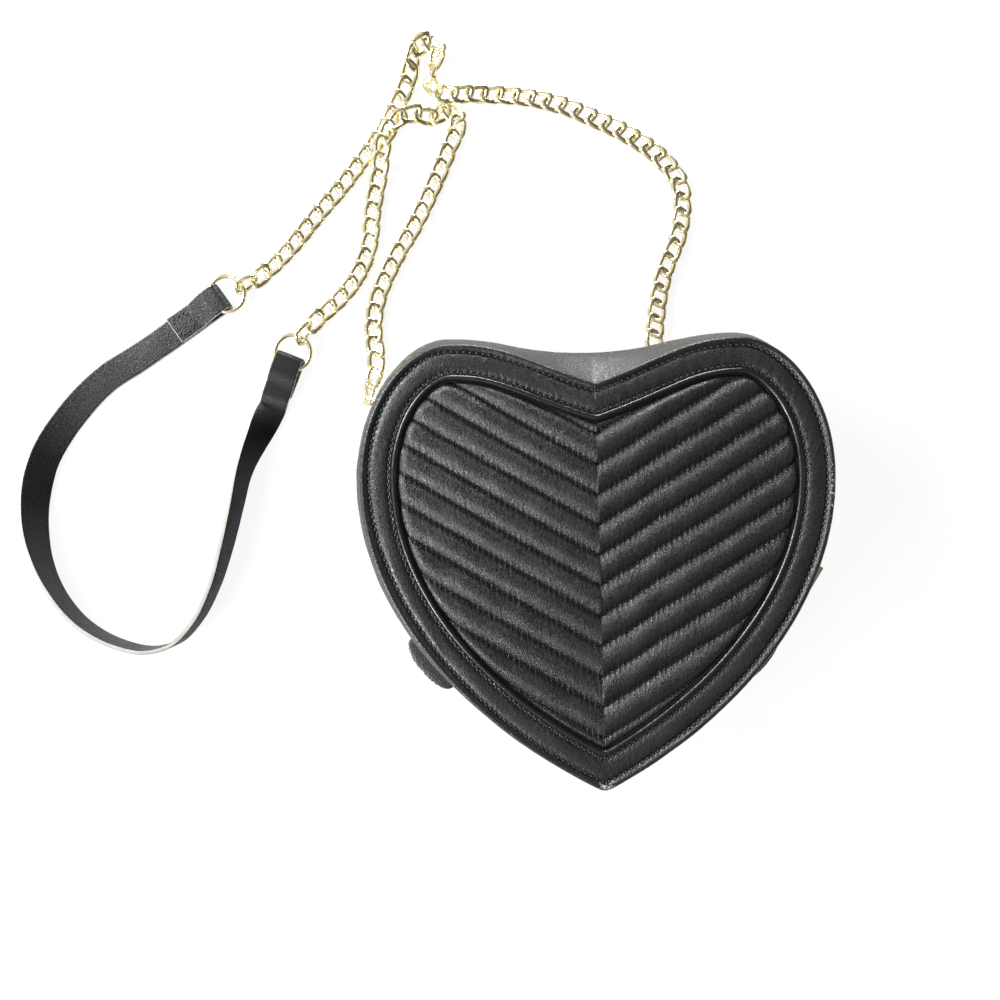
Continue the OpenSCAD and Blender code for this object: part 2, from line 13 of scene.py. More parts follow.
import bpy
import numpy as np
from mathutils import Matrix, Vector


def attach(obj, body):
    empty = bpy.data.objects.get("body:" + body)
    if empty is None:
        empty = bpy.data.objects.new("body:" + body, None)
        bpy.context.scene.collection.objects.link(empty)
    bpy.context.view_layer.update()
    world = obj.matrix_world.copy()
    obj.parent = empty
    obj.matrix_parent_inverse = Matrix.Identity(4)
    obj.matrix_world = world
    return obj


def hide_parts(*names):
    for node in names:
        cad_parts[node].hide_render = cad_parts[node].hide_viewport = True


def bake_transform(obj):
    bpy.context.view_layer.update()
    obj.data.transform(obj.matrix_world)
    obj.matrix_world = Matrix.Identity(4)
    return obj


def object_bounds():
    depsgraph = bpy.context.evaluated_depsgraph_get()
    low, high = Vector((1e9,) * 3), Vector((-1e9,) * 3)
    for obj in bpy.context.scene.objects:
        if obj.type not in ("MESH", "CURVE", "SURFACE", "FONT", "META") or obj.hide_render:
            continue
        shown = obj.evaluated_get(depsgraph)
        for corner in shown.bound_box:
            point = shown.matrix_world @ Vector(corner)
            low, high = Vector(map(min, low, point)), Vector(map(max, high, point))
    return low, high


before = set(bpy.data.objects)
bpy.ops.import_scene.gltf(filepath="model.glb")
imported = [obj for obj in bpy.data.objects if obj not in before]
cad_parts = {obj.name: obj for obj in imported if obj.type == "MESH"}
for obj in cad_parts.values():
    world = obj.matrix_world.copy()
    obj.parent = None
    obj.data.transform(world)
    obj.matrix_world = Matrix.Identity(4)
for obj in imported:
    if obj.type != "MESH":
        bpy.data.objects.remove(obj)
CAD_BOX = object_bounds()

Array = np.ndarray
Colour = tuple[float, float, float, float]
Node, Socket, Tree = bpy.types.Node, bpy.types.NodeSocket, bpy.types.NodeTree
LOG = logging.getLogger("purse")
MM = 0.001
WELD = 0.0008  # points of a mesh closer than this, in millimetres, become one
UP = np.array([0.0, 0.0, 1.0])


def unit(v: Array) -> Array:
    """Vectors along the last axis, each divided by its length."""
    return v / np.maximum(np.linalg.norm(v, axis=-1, keepdims=True), 1e-9)


def falloff(x: Array, low: float, high: float) -> Array:
    """Smooth step: 0 up to low, 1 from high on, with 3t^2 - 2t^3 between."""
    t = np.clip((x - low) / (high - low), 0, 1)
    return t * t * (3 - 2 * t)


def bell(x: Array, width: float) -> Array:
    """exp(-(x / width)^2): 1 at 0 and nearly 0 from two widths on."""
    return np.exp(-(x / width) ** 2)


def spot(x: Array, y: Array, centre: tuple[float, float], wide: float, high: float) -> Array:
    """A soft spot: exp(-dx^2 / wide - dy^2 / high), where dx and dy count from the centre."""
    return np.exp(-((x - centre[0]) ** 2) / wide - (y - centre[1]) ** 2 / high)


def noise(x: Array, y: Array, seed: int) -> Array:
    """Smooth value noise from -1 to 1.

    Random values sit on the whole numbers of a 64 by 64 torus, and 3t^2 - 2t^3 blends them.

    Args:
        x: First coordinate, in cells.
        y: Second coordinate, in cells.
        seed: Seed of the table of values.

    Returns:
        Noise in the common shape of x and y.
    """
    table = np.random.default_rng(seed).uniform(-1, 1, (64, 64))
    x, y = np.broadcast_arrays(np.asarray(x, float), np.asarray(y, float))
    i, j = np.floor(x).astype(int), np.floor(y).astype(int)
    s, t = falloff(x - i, 0, 1), falloff(y - j, 0, 1)
    i, j, k, m = i % 64, j % 64, (i + 1) % 64, (j + 1) % 64
    low = table[i, j] * (1 - s) + table[k, j] * s
    high = table[i, m] * (1 - s) + table[k, m] * s
    return low * (1 - t) + high * t


def run_of(line: Array) -> Array:
    """Length run along a line of points up to each point."""
    steps = np.linalg.norm(np.diff(line, axis=0), axis=1)
    return np.concatenate([[0.0], np.cumsum(steps)])


def sampled(run: Array, rows: Array, at: Array) -> Array:
    """Rows known at some runs along a line, read off at other runs by straight steps."""
    return np.stack([np.interp(at, run, rows[:, k]) for k in range(rows.shape[1])], 1)


def resample(line: Array, at: Array) -> Array:
    """Points of a line of points at the given runs along it."""
    return sampled(run_of(line), line, at)


def looped(ring: Array) -> Array:
    """A ring of points with its first point once more at the end."""
    return np.concatenate([ring, ring[:1]])


def at_level(plan: Array, z: Array | float) -> Array:
    """Points of the plan put at a level, or each at its own."""
    return np.column_stack([plan, np.broadcast_to(z, len(plan))])


def spline(points: Array, spacing: float) -> Array:
    """A smooth line through points: a cubic Hermite curve whose parameter is the chord length.

    Args:
        points: Places to pass through, one a row; further columns are carried along.
        spacing: Distance between the points put out.

    Returns:
        Points of the curve at even distances in its first three columns.
    """
    chord = run_of(points[:, :3])
    slope = np.gradient(points, chord, axis=0)
    t = np.linspace(0, chord[-1], int(chord[-1] / spacing * 4) + 2)
    k = np.clip(np.searchsorted(chord, t) - 1, 0, len(chord) - 2)
    h = (chord[k + 1] - chord[k])[:, None]
    s = (t - chord[k])[:, None] / h
    dense = ((2 * s**3 - 3 * s**2 + 1) * points[k] + (s**3 - 2 * s**2 + s) * h * slope[k]
             + (3 * s**2 - 2 * s**3) * points[k + 1] + (s**3 - s**2) * h * slope[k + 1])
    run = run_of(dense[:, :3])
    return sampled(run, dense, np.linspace(0, run[-1], max(2, int(round(run[-1] / spacing)) + 1)))


def chart(rows: Array, columns: Array) -> Array:
    """Texture places of a grid from the place of each row and of each column."""
    return np.stack(np.meshgrid(rows, columns, indexing="ij"), -1)


# Meshes


def in_scene(name: str, data: bpy.types.ID) -> bpy.types.Object:
    """A new object with that data, linked to the scene."""
    thing = bpy.data.objects.new(name, data)
    bpy.context.scene.collection.objects.link(thing)
    return thing


class Shell:
    """Gathers numpy surfaces and puts them into one mesh."""

    def __init__(self, name: str) -> None:
        """Starts an empty shell of that name."""
        self.name = name
        self.points: list[Array] = []
        self.faces: list[Array] = []
        self.uvs: list[Array] = []
        self.slots: list[Array] = []
        self.wear_and_highlight_levels: list[Array] = []
        self.count = 0

    def grids(self, points: Array, closed_u: bool = False, closed_v: bool = False,
              uv: Optional[Array] = None, slot: int = 0, wear_and_highlight: Optional[Array] = None,
              flip: bool = False) -> None:
        """Adds k grids of n by m points at once, as quads between neighbours.

        Args:
            points: Places in millimetres, shaped (k, n, m, 3) or (n, m, 3).
            closed_u: Join the last row to the first.
            closed_v: Join the last column to the first.
            uv: Texture place of every point in millimetres, shaped as points with 2 at the end.
            slot: Index of the material.
            wear_and_highlight: Share of pale wear and painted highlight from 0 to 1 of every point.
            flip: Turn the faces round.
        """
        if points.ndim == 3:
            points = points[None]
        k, n, m = points.shape[:3]
        if uv is None:
            uv = chart(np.arange(n), np.arange(m)) * 1.0
        uv = np.broadcast_to(uv if np.ndim(uv) == 4 else np.asarray(uv)[None], (k, n, m, 2))
        i = np.arange(n if closed_u else n - 1)[:, None]
        j = np.arange(m if closed_v else m - 1)[None, :]
        corners = [(i, j), (i + 1, j), (i + 1, j + 1), (i, j + 1)]
        if flip:
            corners = corners[::-1]
        quad = np.stack([(a % n * m + b % m) + 0 * (i + j) for a, b in corners], -1).reshape(-1, 4)
        faces = (quad[None] + n * m * np.arange(k)[:, None, None]).reshape(-1, 4)
        self.faces.append(faces + self.count)
        loop_uv = uv.reshape(-1, 2)[faces]
        for axis, joined in enumerate((closed_u, closed_v)):
            if joined:
                loop_uv = self._past_the_seam(loop_uv, uv, corners, axis)
        self.uvs.append(loop_uv)
        self.points.append(points.reshape(-1, 3))
        self.slots.append(np.full(k * len(quad), slot, np.int32))
        level = 0.0 if wear_and_highlight is None else wear_and_highlight
        self.wear_and_highlight_levels.append(np.broadcast_to(level, (k, n, m)).reshape(-1).astype(np.float32))
        self.count += k * n * m

    @staticmethod
    def _past_the_seam(loop_uv: Array, uv: Array, corners: list, axis: int) -> Array:
        """Carries the texture on past the seam of a closed direction by one more step.

        Args:
            loop_uv: Texture place of every corner of the faces.
            uv: Texture place of the grids' points, shaped (k, n, m, 2).
            corners: Row and column of each of a face's four corners.
            axis: 0 where the rows close and 1 where the columns do.

        Returns:
            The new loop_uv.
        """
        index = np.stack([np.broadcast_to(c[axis], np.broadcast(*c).shape).ravel() for c in corners], -1)
        over = np.tile(index == uv.shape[1 + axis], (len(uv), 1))
        first, second, last = (uv.take(i, 1 + axis) for i in (0, 1, -1))
        return loop_uv + over[..., None] * (last - first + (second - first)).mean(axis=(0, 1))

    @staticmethod
    def copies(shape: Array, at: Array, axes: Array) -> Array:
        """A copy of one grid at each place.

        Args:
            shape: The grid, shaped (n, m, 3), in its own axes.
            at: Places of the copies, shaped (k, 3).
            axes: The rows of each entry are the copy's own X, Y and Z, shaped (k, 3, 3).

        Returns:
            Grids shaped (k, n, m, 3).
        """
        return at[:, None, None, :] + np.einsum("nmi,kij->knmj", shape, axes)

    def build(self, finishes: Sequence["Finish"], body: Optional[str], slot: str,
              replaces: Sequence[str] = (), crease: float = 50.0) -> bpy.types.Object:
        """Writes the mesh, welds its seams, dresses it and lets it ride on its body.

        Args:
            finishes: Finishes in the order of the slots used.
            body: Body of the part that carries the piece; None leaves that to the caller.
            slot: The record's material slot; not used.
            replaces: Nodes of the part that this piece stands for.
            crease: Angle in degrees above which an edge stays sharp.

        Returns:
            The new object.
        """
        points = np.concatenate(self.points) + ROW_SHIFT
        _, first, merged = np.unique(np.round(points / WELD).astype(np.int64), axis=0,
                                     return_index=True, return_inverse=True)
        merged = merged.reshape(-1)
        faces = merged[np.concatenate(self.faces)]
        keep = faces != np.roll(faces, -1, axis=1)
        whole = keep.sum(1) >= 3
        faces, keep = faces[whole], keep[whole]
        uvs = np.concatenate(self.uvs)[whole][keep]
        slots = np.concatenate(self.slots)[whole]
        total = keep.sum(1).astype(np.int32)
        start = np.concatenate([[0], np.cumsum(total)[:-1]]).astype(np.int32)
        mesh = bpy.data.meshes.new(self.name)
        mesh.vertices.add(len(first))
        mesh.vertices.foreach_set("co", (points[first] * MM).astype(np.float32).ravel())
        mesh.loops.add(int(total.sum()))
        mesh.loops.foreach_set("vertex_index", faces[keep].astype(np.int32))
        mesh.polygons.add(len(faces))
        mesh.polygons.foreach_set("loop_start", start)
        mesh.polygons.foreach_set("loop_total", total)
        mesh.update(calc_edges=True)
        mesh.polygons.foreach_set("material_index", slots)
        mesh.uv_layers.new(name="UVMap").data.foreach_set("uv", uvs.astype(np.float32).ravel())
        # Per point share of wear and of painted highlight, which the leather mixes in as a pale colour
        wear_and_highlight = mesh.attributes.new("wear_and_highlight", "FLOAT", "POINT")
        wear_and_highlight.data.foreach_set("value", np.concatenate(self.wear_and_highlight_levels)[first])
        mesh.polygons.foreach_set("use_smooth", np.ones(len(faces), bool))
        mesh.set_sharp_from_angle(angle=math.radians(crease))
        mesh.validate()
        for finish in finishes:
            mesh.materials.append(finish.material())
        piece = in_scene(self.name, mesh)
        if body:
            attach(piece, body)
        if replaces:
            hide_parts(*replaces)
        LOG.info("%s: %d faces on %s", self.name, len(faces), body)
        return piece


def tube(line: Array, radius: Array | float, sides: int, closed: bool, up: Array,
         flat: float = 1.0) -> Array:
    """A round profile carried along a line.

    Each ring is the line's point plus radius times (cos a along the side, sin a along the up
    direction), where the side is the way crossed with up. An open tube closes to a point at its ends.

    Args:
        line: Places of the middle, shaped (n, 3).
        radius: Radius of the tube, one for all or one a point.
        sides: Number of sides.
        closed: Join the end to the start.
        up: Direction that the sides are counted from, shaped (3,) or (n, 3).
        flat: Share of the radius along the up direction.

    Returns:
        A grid shaped (n, sides, 3), with two more rows for an open tube.
    """
    way = np.roll(line, -1, 0) - np.roll(line, 1, 0) if closed else np.gradient(line, axis=0)
    way = unit(way)
    side = unit(np.cross(way, np.broadcast_to(up, line.shape)))
    rise = np.cross(side, way)
    radius = np.broadcast_to(radius, len(line))
    if not closed:
        line = np.concatenate([line[:1], line, line[-1:]])
        side, rise = (np.concatenate([v[:1], v, v[-1:]]) for v in (side, rise))
        radius = np.concatenate([[0.0], radius, [0.0]])
    a = np.arange(sides) * 2 * math.pi / sides
    ring = side[:, None] * np.cos(a)[None, :, None] + rise[:, None] * np.sin(a)[None, :, None] * flat
    return line[:, None] + radius[:, None, None] * ring


@dataclass(frozen=True)
class Stitch:
    """One row of stitches: short twisted bars of thread that dive into the leather at both ends."""

    pitch: float = 2.8
    share: float = 0.72
    thick: float = 0.5
    sink: float = 0.16

    def shape(self) -> Array:
        """A bar along X: its radius is thick/2 times the square root of 1 - s^4, and its ends sink."""
        s = np.linspace(-1, 1, 7)[:, None]
        a = np.arange(6)[None, :] * math.pi / 3
        radius = self.thick / 2 * np.maximum(1 - s**4, 0) ** 0.5
        along = s * self.pitch * self.share / 2 + 0 * a
        return np.stack([along, radius * np.sin(a), radius * np.cos(a) - self.sink * s**2 * 2], -1)

    def count(self, line: Array) -> int:
        """Number of stitches that fit along the line."""
        return max(1, int(round(run_of(line)[-1] / self.pitch)))

    def sew(self, shell: Shell, line: Array, up: Array, at: Optional[Array] = None) -> None:
        """Adds stitches along a line.

        Args:
            shell: Shell that the stitches go into.
            line: Places on the leather, shaped (n, 3).
            up: Direction out of the leather at each place, shaped (n, 3) or (3,).
            at: Runs along the line of the stitches' middles; left out, they are spread evenly.
        """
        run = run_of(line)
        count = self.count(line)
        at = (np.arange(count) + 0.5) * run[-1] / count if at is None else at
        lift = unit(sampled(run, np.broadcast_to(up, line.shape), at))
        step = self.pitch * 0.3
        way = unit(sampled(run, line, at + step) - sampled(run, line, at - step))
        side = unit(np.cross(lift, way))
        axes = np.stack([way, side, np.cross(way, side)], 1)
        shell.grids(shell.copies(self.shape(), sampled(run, line, at), axes), closed_v=True)


# Finishes


class Graph:
    """A node tree with short calls for its nodes."""

    def __init__(self, tree: Tree) -> None:
        """Keeps the tree that the nodes go into."""
        self.tree = tree

    @classmethod
    def of(cls, owner: bpy.types.ID) -> "Graph":
        """The graph of a material or a world, emptied."""
        owner.use_nodes = True
        owner.node_tree.nodes.clear()
        return cls(owner.node_tree)

    def put(self, socket: Socket, value: object) -> None:
        """Links a socket to another one, or gives it a plain value."""
        if isinstance(value, Socket):
            self.tree.links.new(value, socket)
        else:
            socket.default_value = value

    def node(self, kind: str, values: Optional[dict] = None, **settings: object) -> Node:
        """Adds a node.

        Args:
            kind: Type of the node, without the ShaderNode in front.
            values: Value or socket for each input, by name or number.
            settings: Properties of the node.

        Returns:
            The new node.
        """
        node = self.tree.nodes.new("ShaderNode" + kind)
        for key, value in settings.items():
            setattr(node, key, value)
        for key, value in (values or {}).items():
            self.put(node.inputs[key], value)
        return node

    def math(self, operation: str, a: object, b: object = 0.0, clamp: bool = False) -> Socket:
        """The value of one Math node on a and b."""
        return self.node("Math", {0: a, 1: b}, operation=operation, use_clamp=clamp).outputs[0]

    def ramp(self, value: object, low: float, high: float, out_low: float = 0.0,
             out_high: float = 1.0) -> Socket:
        """Smooth step of a value from low to high, put out from out_low to out_high."""
        names = ("Value", "From Min", "From Max", "To Min", "To Max")
        return self.node("MapRange", dict(zip(names, (value, low, high, out_low, out_high))),
                         interpolation_type="SMOOTHSTEP").outputs["Result"]

    def mix(self, share: object, a: object, b: object) -> Socket:
        """Colour a turned into colour b by a share."""
        node = self.node("Mix", data_type="RGBA")
        for socket, value in ((node.inputs[0], share), (node.inputs[6], a), (node.inputs[7], b)):
            self.put(socket, value)
        return node.outputs[2]

    def noise(self, place: object, size_mm: float, detail: float = 3.0, rough: float = 0.55) -> Socket:
        """Noise whose features are about size_mm wide on coordinates in metres."""
        return self.node("TexNoise", {"Vector": place, "Scale": 1 / (size_mm * MM), "Detail": detail,
                                      "Roughness": rough}).outputs[0]

    def stretched(self, place: object, size: tuple[float, float, float]) -> Socket:
        """Coordinates divided by a size on each axis."""
        return self.node("Mapping", {"Vector": place, "Scale": tuple(1 / s for s in size)}).outputs[0]

    def place(self) -> Socket:
        """Object coordinates in metres."""
        return self.node("TexCoord").outputs["Object"]

    def uv(self) -> Socket:
        """The piece's own UV map, in millimetres."""
        return self.node("UVMap", uv_map="UVMap").outputs[0]


class Effect(Enum):
    """Node groups that several materials share."""

    GRAIN = "leather_grain"
    WEAR_AND_HIGHLIGHT = "wear_and_highlight_mask"
    WEAVE = "woven_cloth"

    def group(self) -> Tree:
        """The node group, built on its first use."""
        ready = bpy.data.node_groups.get(self.value)
        if ready:
            return ready
        tree = bpy.data.node_groups.new(self.value, "ShaderNodeTree")
        {Effect.GRAIN: _grain, Effect.WEAR_AND_HIGHLIGHT: _wear_and_highlight, Effect.WEAVE: _weave}[self](tree)
        return tree

    def put(self, graph: Graph, **values: object) -> Node:
        """Places the group in a material with its own values."""
        node = graph.node("Group", node_tree=self.group())
        for key, value in values.items():
            graph.put(node.inputs[key], value)
        return node


def _sockets(tree: Tree, inputs: dict[str, object],
             outputs: Sequence[str]) -> tuple[Graph, dict, dict]:
    """Gives a group its sockets.

    Args:
        tree: The node group.
        inputs: Default value of each input; None stands for a vector.
        outputs: Names of the outputs, all plain values.

    Returns:
        The graph, the inputs' sockets and the outputs' sockets, by name.
    """
    for name, value in inputs.items():
        kind = "NodeSocketVector" if value is None else "NodeSocketFloat"
        socket = tree.interface.new_socket(name, in_out="INPUT", socket_type=kind)
        if value is not None:
            socket.default_value = value
    for name in outputs:
        tree.interface.new_socket(name, in_out="OUTPUT", socket_type="NodeSocketFloat")
    start, end = tree.nodes.new("NodeGroupInput"), tree.nodes.new("NodeGroupOutput")
    return (Graph(tree), {name: start.outputs[name] for name in inputs},
            {name: end.inputs[name] for name in outputs})


def _grain(tree: Tree) -> None:
    """Leather grain: cells raised by the distance to their edges, pores, and a slow change of tone.

    Height is in millimetres: Depth times (cell edge + half of the fine noise) plus Crease times a
    folded noise, which is 1 - |2n - 1| to the sixth.
    """
    graph, get, out = _sockets(tree, {"Place": None, "Size": 0.8, "Depth": 0.05, "Crease": 0.03},
                               ("Height", "Tone"))
    scale = graph.math("DIVIDE", 1 / MM, get["Size"])

    def cloud(share: float, detail: float, rough: float = 0.5) -> Node:
        """Noise at a share of the cells' scale."""
        return graph.node("TexNoise", {"Vector": get["Place"], "Detail": detail, "Roughness": rough,
                                       "Scale": graph.math("MULTIPLY", scale, share)})

    warp = cloud(0.5, 2.0)
    reach = graph.math("MULTIPLY", get["Size"], 0.9 * MM)
    shift = graph.node("VectorMath", {0: warp.outputs["Color"], 3: reach}, operation="SCALE").outputs[0]
    place = graph.node("VectorMath", {0: get["Place"], 1: shift}, operation="ADD").outputs[0]
    cell = graph.node("TexVoronoi", {"Vector": place, "Scale": scale}, feature="DISTANCE_TO_EDGE")
    cells = graph.ramp(cell.outputs["Distance"], 0.0, 0.32)
    fine = cloud(2.2, 4.0, 0.65).outputs[0]
    fold = cloud(0.22, 5.0, 0.6).outputs[0]
    centred = graph.math("SUBTRACT", graph.math("MULTIPLY", fold, 2.0), 1.0)
    ridge = graph.math("POWER", graph.math("SUBTRACT", 1.0, graph.math("ABSOLUTE", centred)), 6.0)
    grain = graph.math("MULTIPLY", get["Depth"], graph.math(
        "ADD", cells, graph.math("MULTIPLY", fine, 0.5)))
    creased = graph.math("SUBTRACT", grain, graph.math("MULTIPLY", ridge, get["Crease"]))
    graph.put(out["Height"], creased)
    slow = cloud(0.05, 3.0).outputs[0]
    graph.put(out["Tone"], graph.math("ADD", graph.math("MULTIPLY", slow, 0.7),
                                      graph.math("MULTIPLY", fine, 0.3)))


def _wear_and_highlight(tree: Tree) -> None:
    """Mask of pale wear and painted highlights: ragged patches where the level passes a noise; the mask
    is soft at their edges.
    """
    graph, get, out = _sockets(tree, {"Place": None, "Level": 0.0, "Size": 1.1}, ("Mask",))
    scale = graph.math("DIVIDE", 1 / MM, get["Size"])
    patch = graph.node("TexNoise", {"Vector": get["Place"], "Scale": scale, "Detail": 5.0,
                                    "Roughness": 0.7}).outputs[0]
    over = graph.math("SUBTRACT", graph.math("ADD", get["Level"], patch), 1.0)
    graph.put(out["Mask"], graph.ramp(over, -0.02, 0.1))


def _weave(tree: Tree) -> None:
    """Plain weave on a UV map in millimetres: each thread is a half wave, over and under in turn.

    With a and b the waves of the two threads, the height is the larger of a where the cell is even
    and b where it is odd, each a sine along its own thread. The same height is put out as a painted
    shade for the colour: dark in the hollows, light on the crests.
    """
    graph, get, out = _sockets(tree, {"Place": None, "Pitch": 0.5}, ("Height", "PaintedShade"))
    parts = graph.node("SeparateXYZ", {0: get["Place"]})
    across = [graph.math("DIVIDE", parts.outputs[k], get["Pitch"]) for k in (0, 1)]
    waves = [graph.math("ABSOLUTE", graph.math("SINE", graph.math("MULTIPLY", v, math.pi)))
             for v in across]
    cell = graph.math("ADD", graph.math("FLOOR", across[0]), graph.math("FLOOR", across[1]))
    odd = graph.math("ABSOLUTE", graph.math("MODULO", cell, 2.0))
    even = graph.math("SUBTRACT", 1.0, odd)
    height = graph.math("ADD", graph.math("MULTIPLY", waves[0], even),
                        graph.math("MULTIPLY", waves[1], odd))
    graph.put(out["Height"], graph.math("MULTIPLY", height, get["Pitch"]))
    graph.put(out["PaintedShade"], height)


def grey(level: float) -> Colour:
    """A grey of that level in all three channels."""
    return level, level, level, 1


@dataclass(frozen=True)
class Finish:
    """What every finish has: a name for its material and a way to wire it."""

    name: str

    def material(self) -> bpy.types.Material:
        """The material, made on its first use."""
        ready = bpy.data.materials.get(self.name)
        if ready:
            return ready
        material = bpy.data.materials.new(self.name)
        graph = Graph.of(material)
        shader = graph.node("BsdfPrincipled")
        graph.node("OutputMaterial", {"Surface": shader.outputs[0]})
        self.dress(graph, shader)
        return material

    def dress(self, graph: Graph, shader: Node) -> None:
        """Wires the colour, roughness and relief of the finish into its shader."""
        raise NotImplementedError

    @staticmethod
    def gloss(graph: Graph, shader: Node, value: object, span: tuple[float, float],
              rough: tuple[float, float]) -> None:
        """Lets the roughness go from one value to another while a noise passes through a span."""
        graph.put(shader.inputs["Roughness"], graph.ramp(value, *span, *rough))

    @staticmethod
    def relief(graph: Graph, shader: Node, height: object) -> None:
        """Feeds a height in millimetres through a Bump node into the shader's normal."""
        bump = graph.node("Bump", {"Height": height, "Distance": MM, "Strength": 1.0})
        graph.put(shader.inputs["Normal"], bump.outputs[0])


@dataclass(frozen=True)
class Leather(Finish):
    """Dyed leather with pebbled grain, creases, and pale wear and painted highlights where the piece's
    attribute asks.
    """

    colour: Colour = (0.003, 0.0032, 0.0032, 1)
    high: Colour = (0.009, 0.0096, 0.0094, 1)
    pale_wear_and_highlight: Colour = (0.42, 0.4, 0.37, 1)
    roughness: float = 0.42
    spread: float = 0.08
    ior: float = 1.48
    pebble: float = 0.95
    depth: float = 0.06
    crease: float = 0.03
    wrinkle: float = 0.0
    patchy: float = 0.12

    def dress(self, graph: Graph, shader: Node) -> None:
        """Grain and tone on object coordinates; wrinkles across the UV map's first axis."""
        place = graph.place()
        grain = Effect.GRAIN.put(graph, Place=place, Size=self.pebble, Depth=self.depth,
                                 Crease=self.crease)
        height = grain.outputs["Height"]
        if self.wrinkle:
            swirl = graph.node("TexNoise", {"Vector": graph.uv(), "Scale": 0.55, "Detail": 2.0})
            bent = graph.node("VectorMath", {0: swirl.outputs["Color"], 1: (1.5, 1.5, 1.5),
                                             2: graph.uv()}, operation="MULTIPLY_ADD").outputs[0]
            fine = graph.node("TexNoise", {"Vector": graph.stretched(bent, (1.0, 2.0, 1.0)),
                                           "Scale": 1.6, "Detail": 2.0, "Roughness": 0.6}).outputs[0]
            height = graph.math("ADD", height, graph.math("MULTIPLY", fine, self.wrinkle * 2))
        else:
            fine = graph.noise(place, 0.8, 2.0, 0.6)
        level = graph.node("Attribute", attribute_name="wear_and_highlight").outputs["Fac"]
        pale_wear_and_highlight = Effect.WEAR_AND_HIGHLIGHT.put(graph, Place=place, Level=level).outputs["Mask"]
        dyed = graph.mix(grain.outputs["Tone"], self.colour, self.high)
        # The pale colour shows wear, and painted highlights on the stitch bridges of the quilting and
        # the border
        graph.put(shader.inputs["Base Color"], graph.mix(pale_wear_and_highlight, dyed, self.pale_wear_and_highlight))
        slow = graph.ramp(grain.outputs["Tone"], 0.2, 0.8, self.roughness - self.spread,
                          self.roughness + self.spread)
        rough = graph.math("ADD", slow, graph.ramp(fine, 0.36, 0.66, self.patchy, -self.patchy))
        rubbed = graph.math("MULTIPLY", pale_wear_and_highlight, 0.3)
        graph.put(shader.inputs["Roughness"], graph.math("ADD", rough, rubbed, clamp=True))
        graph.put(shader.inputs["IOR"], self.ior)
        relief = graph.math("SUBTRACT", height, graph.math("MULTIPLY", pale_wear_and_highlight, 0.06))
        self.relief(graph, shader, relief)


@dataclass(frozen=True)
class Thread(Finish):
    """Sewing thread: a slanting twist with a slight gloss; its colour carries painted shade, darker in
    the twist's grooves.
    """

    colour: Colour = grey(0.006)
    high: Colour = grey(0.018)
    roughness: float = 0.6

    def dress(self, graph: Graph, shader: Node) -> None:
        """The twist is a wave along the bar and round it, on the piece's UV map; it raises the relief
        and paints shade into the colour in its grooves.
        """
        parts = graph.node("SeparateXYZ", {0: graph.uv()})
        slant = graph.math("ADD", graph.math("MULTIPLY", parts.outputs[0], 2.1),
                           graph.math("MULTIPLY", parts.outputs[1], 1.05))
        twist = graph.ramp(graph.math("SINE", slant), -1.0, 1.0)
        # Painted shade: the colour is darker in the twist's grooves and lighter on its crests
        graph.put(shader.inputs["Base Color"], graph.mix(twist, self.colour, self.high))
        graph.put(shader.inputs["Roughness"], self.roughness)
        self.relief(graph, shader, graph.math("MULTIPLY", twist, 0.05))


@dataclass(frozen=True)
class Metal(Finish):
    """Plated metal with faint clouds in its gloss and a little tarnish."""

    colour: Colour = (0.88, 0.79, 0.5, 1)
    dull: Colour = (0.72, 0.6, 0.33, 1)
    roughness: float = 0.13
    spread: float = 0.08

    def dress(self, graph: Graph, shader: Node) -> None:
        """Two sizes of noise change the tone, the gloss and the relief."""
        place = graph.place()
        cloud = graph.noise(place, 6.0, 4.0)
        fine = graph.noise(place, 0.5, 4.0, 0.7)
        tarnish = graph.ramp(cloud, 0.45, 0.75)
        graph.put(shader.inputs["Base Color"], graph.mix(tarnish, self.colour, self.dull))
        graph.put(shader.inputs["Metallic"], 1.0)
        self.gloss(graph, shader, fine, (0.3, 0.75), (self.roughness, self.roughness + self.spread))
        self.relief(graph, shader, graph.math("MULTIPLY", fine, 0.012))


@dataclass(frozen=True)
class Cloth(Finish):
    """Woven cloth or tape on a UV map in millimetres."""

    colour: Colour = (0.012, 0.012, 0.013, 1)
    high: Colour = (0.032, 0.032, 0.034, 1)
    pitch: float = 0.5
    roughness: float = 0.75
    sheen: float = 0.15

    def dress(self, graph: Graph, shader: Node) -> None:
        """The weave gives the relief and a painted shade, dark in its hollows and light on its crests; a
        slow noise varies the tone.
        """
        weave = Effect.WEAVE.put(graph, Place=graph.uv(), Pitch=self.pitch)
        slow = graph.noise(graph.place(), 14.0)
        # Painted shade of the weave: the colour darkens in the hollows between threads
        tone = graph.math("MULTIPLY", weave.outputs["PaintedShade"], graph.ramp(slow, 0.2, 0.8, 0.6, 1.0))
        graph.put(shader.inputs["Base Color"], graph.mix(tone, self.colour, self.high))
        self.gloss(graph, shader, slow, (0.3, 0.7), (self.roughness - 0.06, self.roughness + 0.06))
        graph.put(shader.inputs["Sheen Weight"], self.sheen)
        self.relief(graph, shader, graph.math("MULTIPLY", weave.outputs["Height"], 0.4))


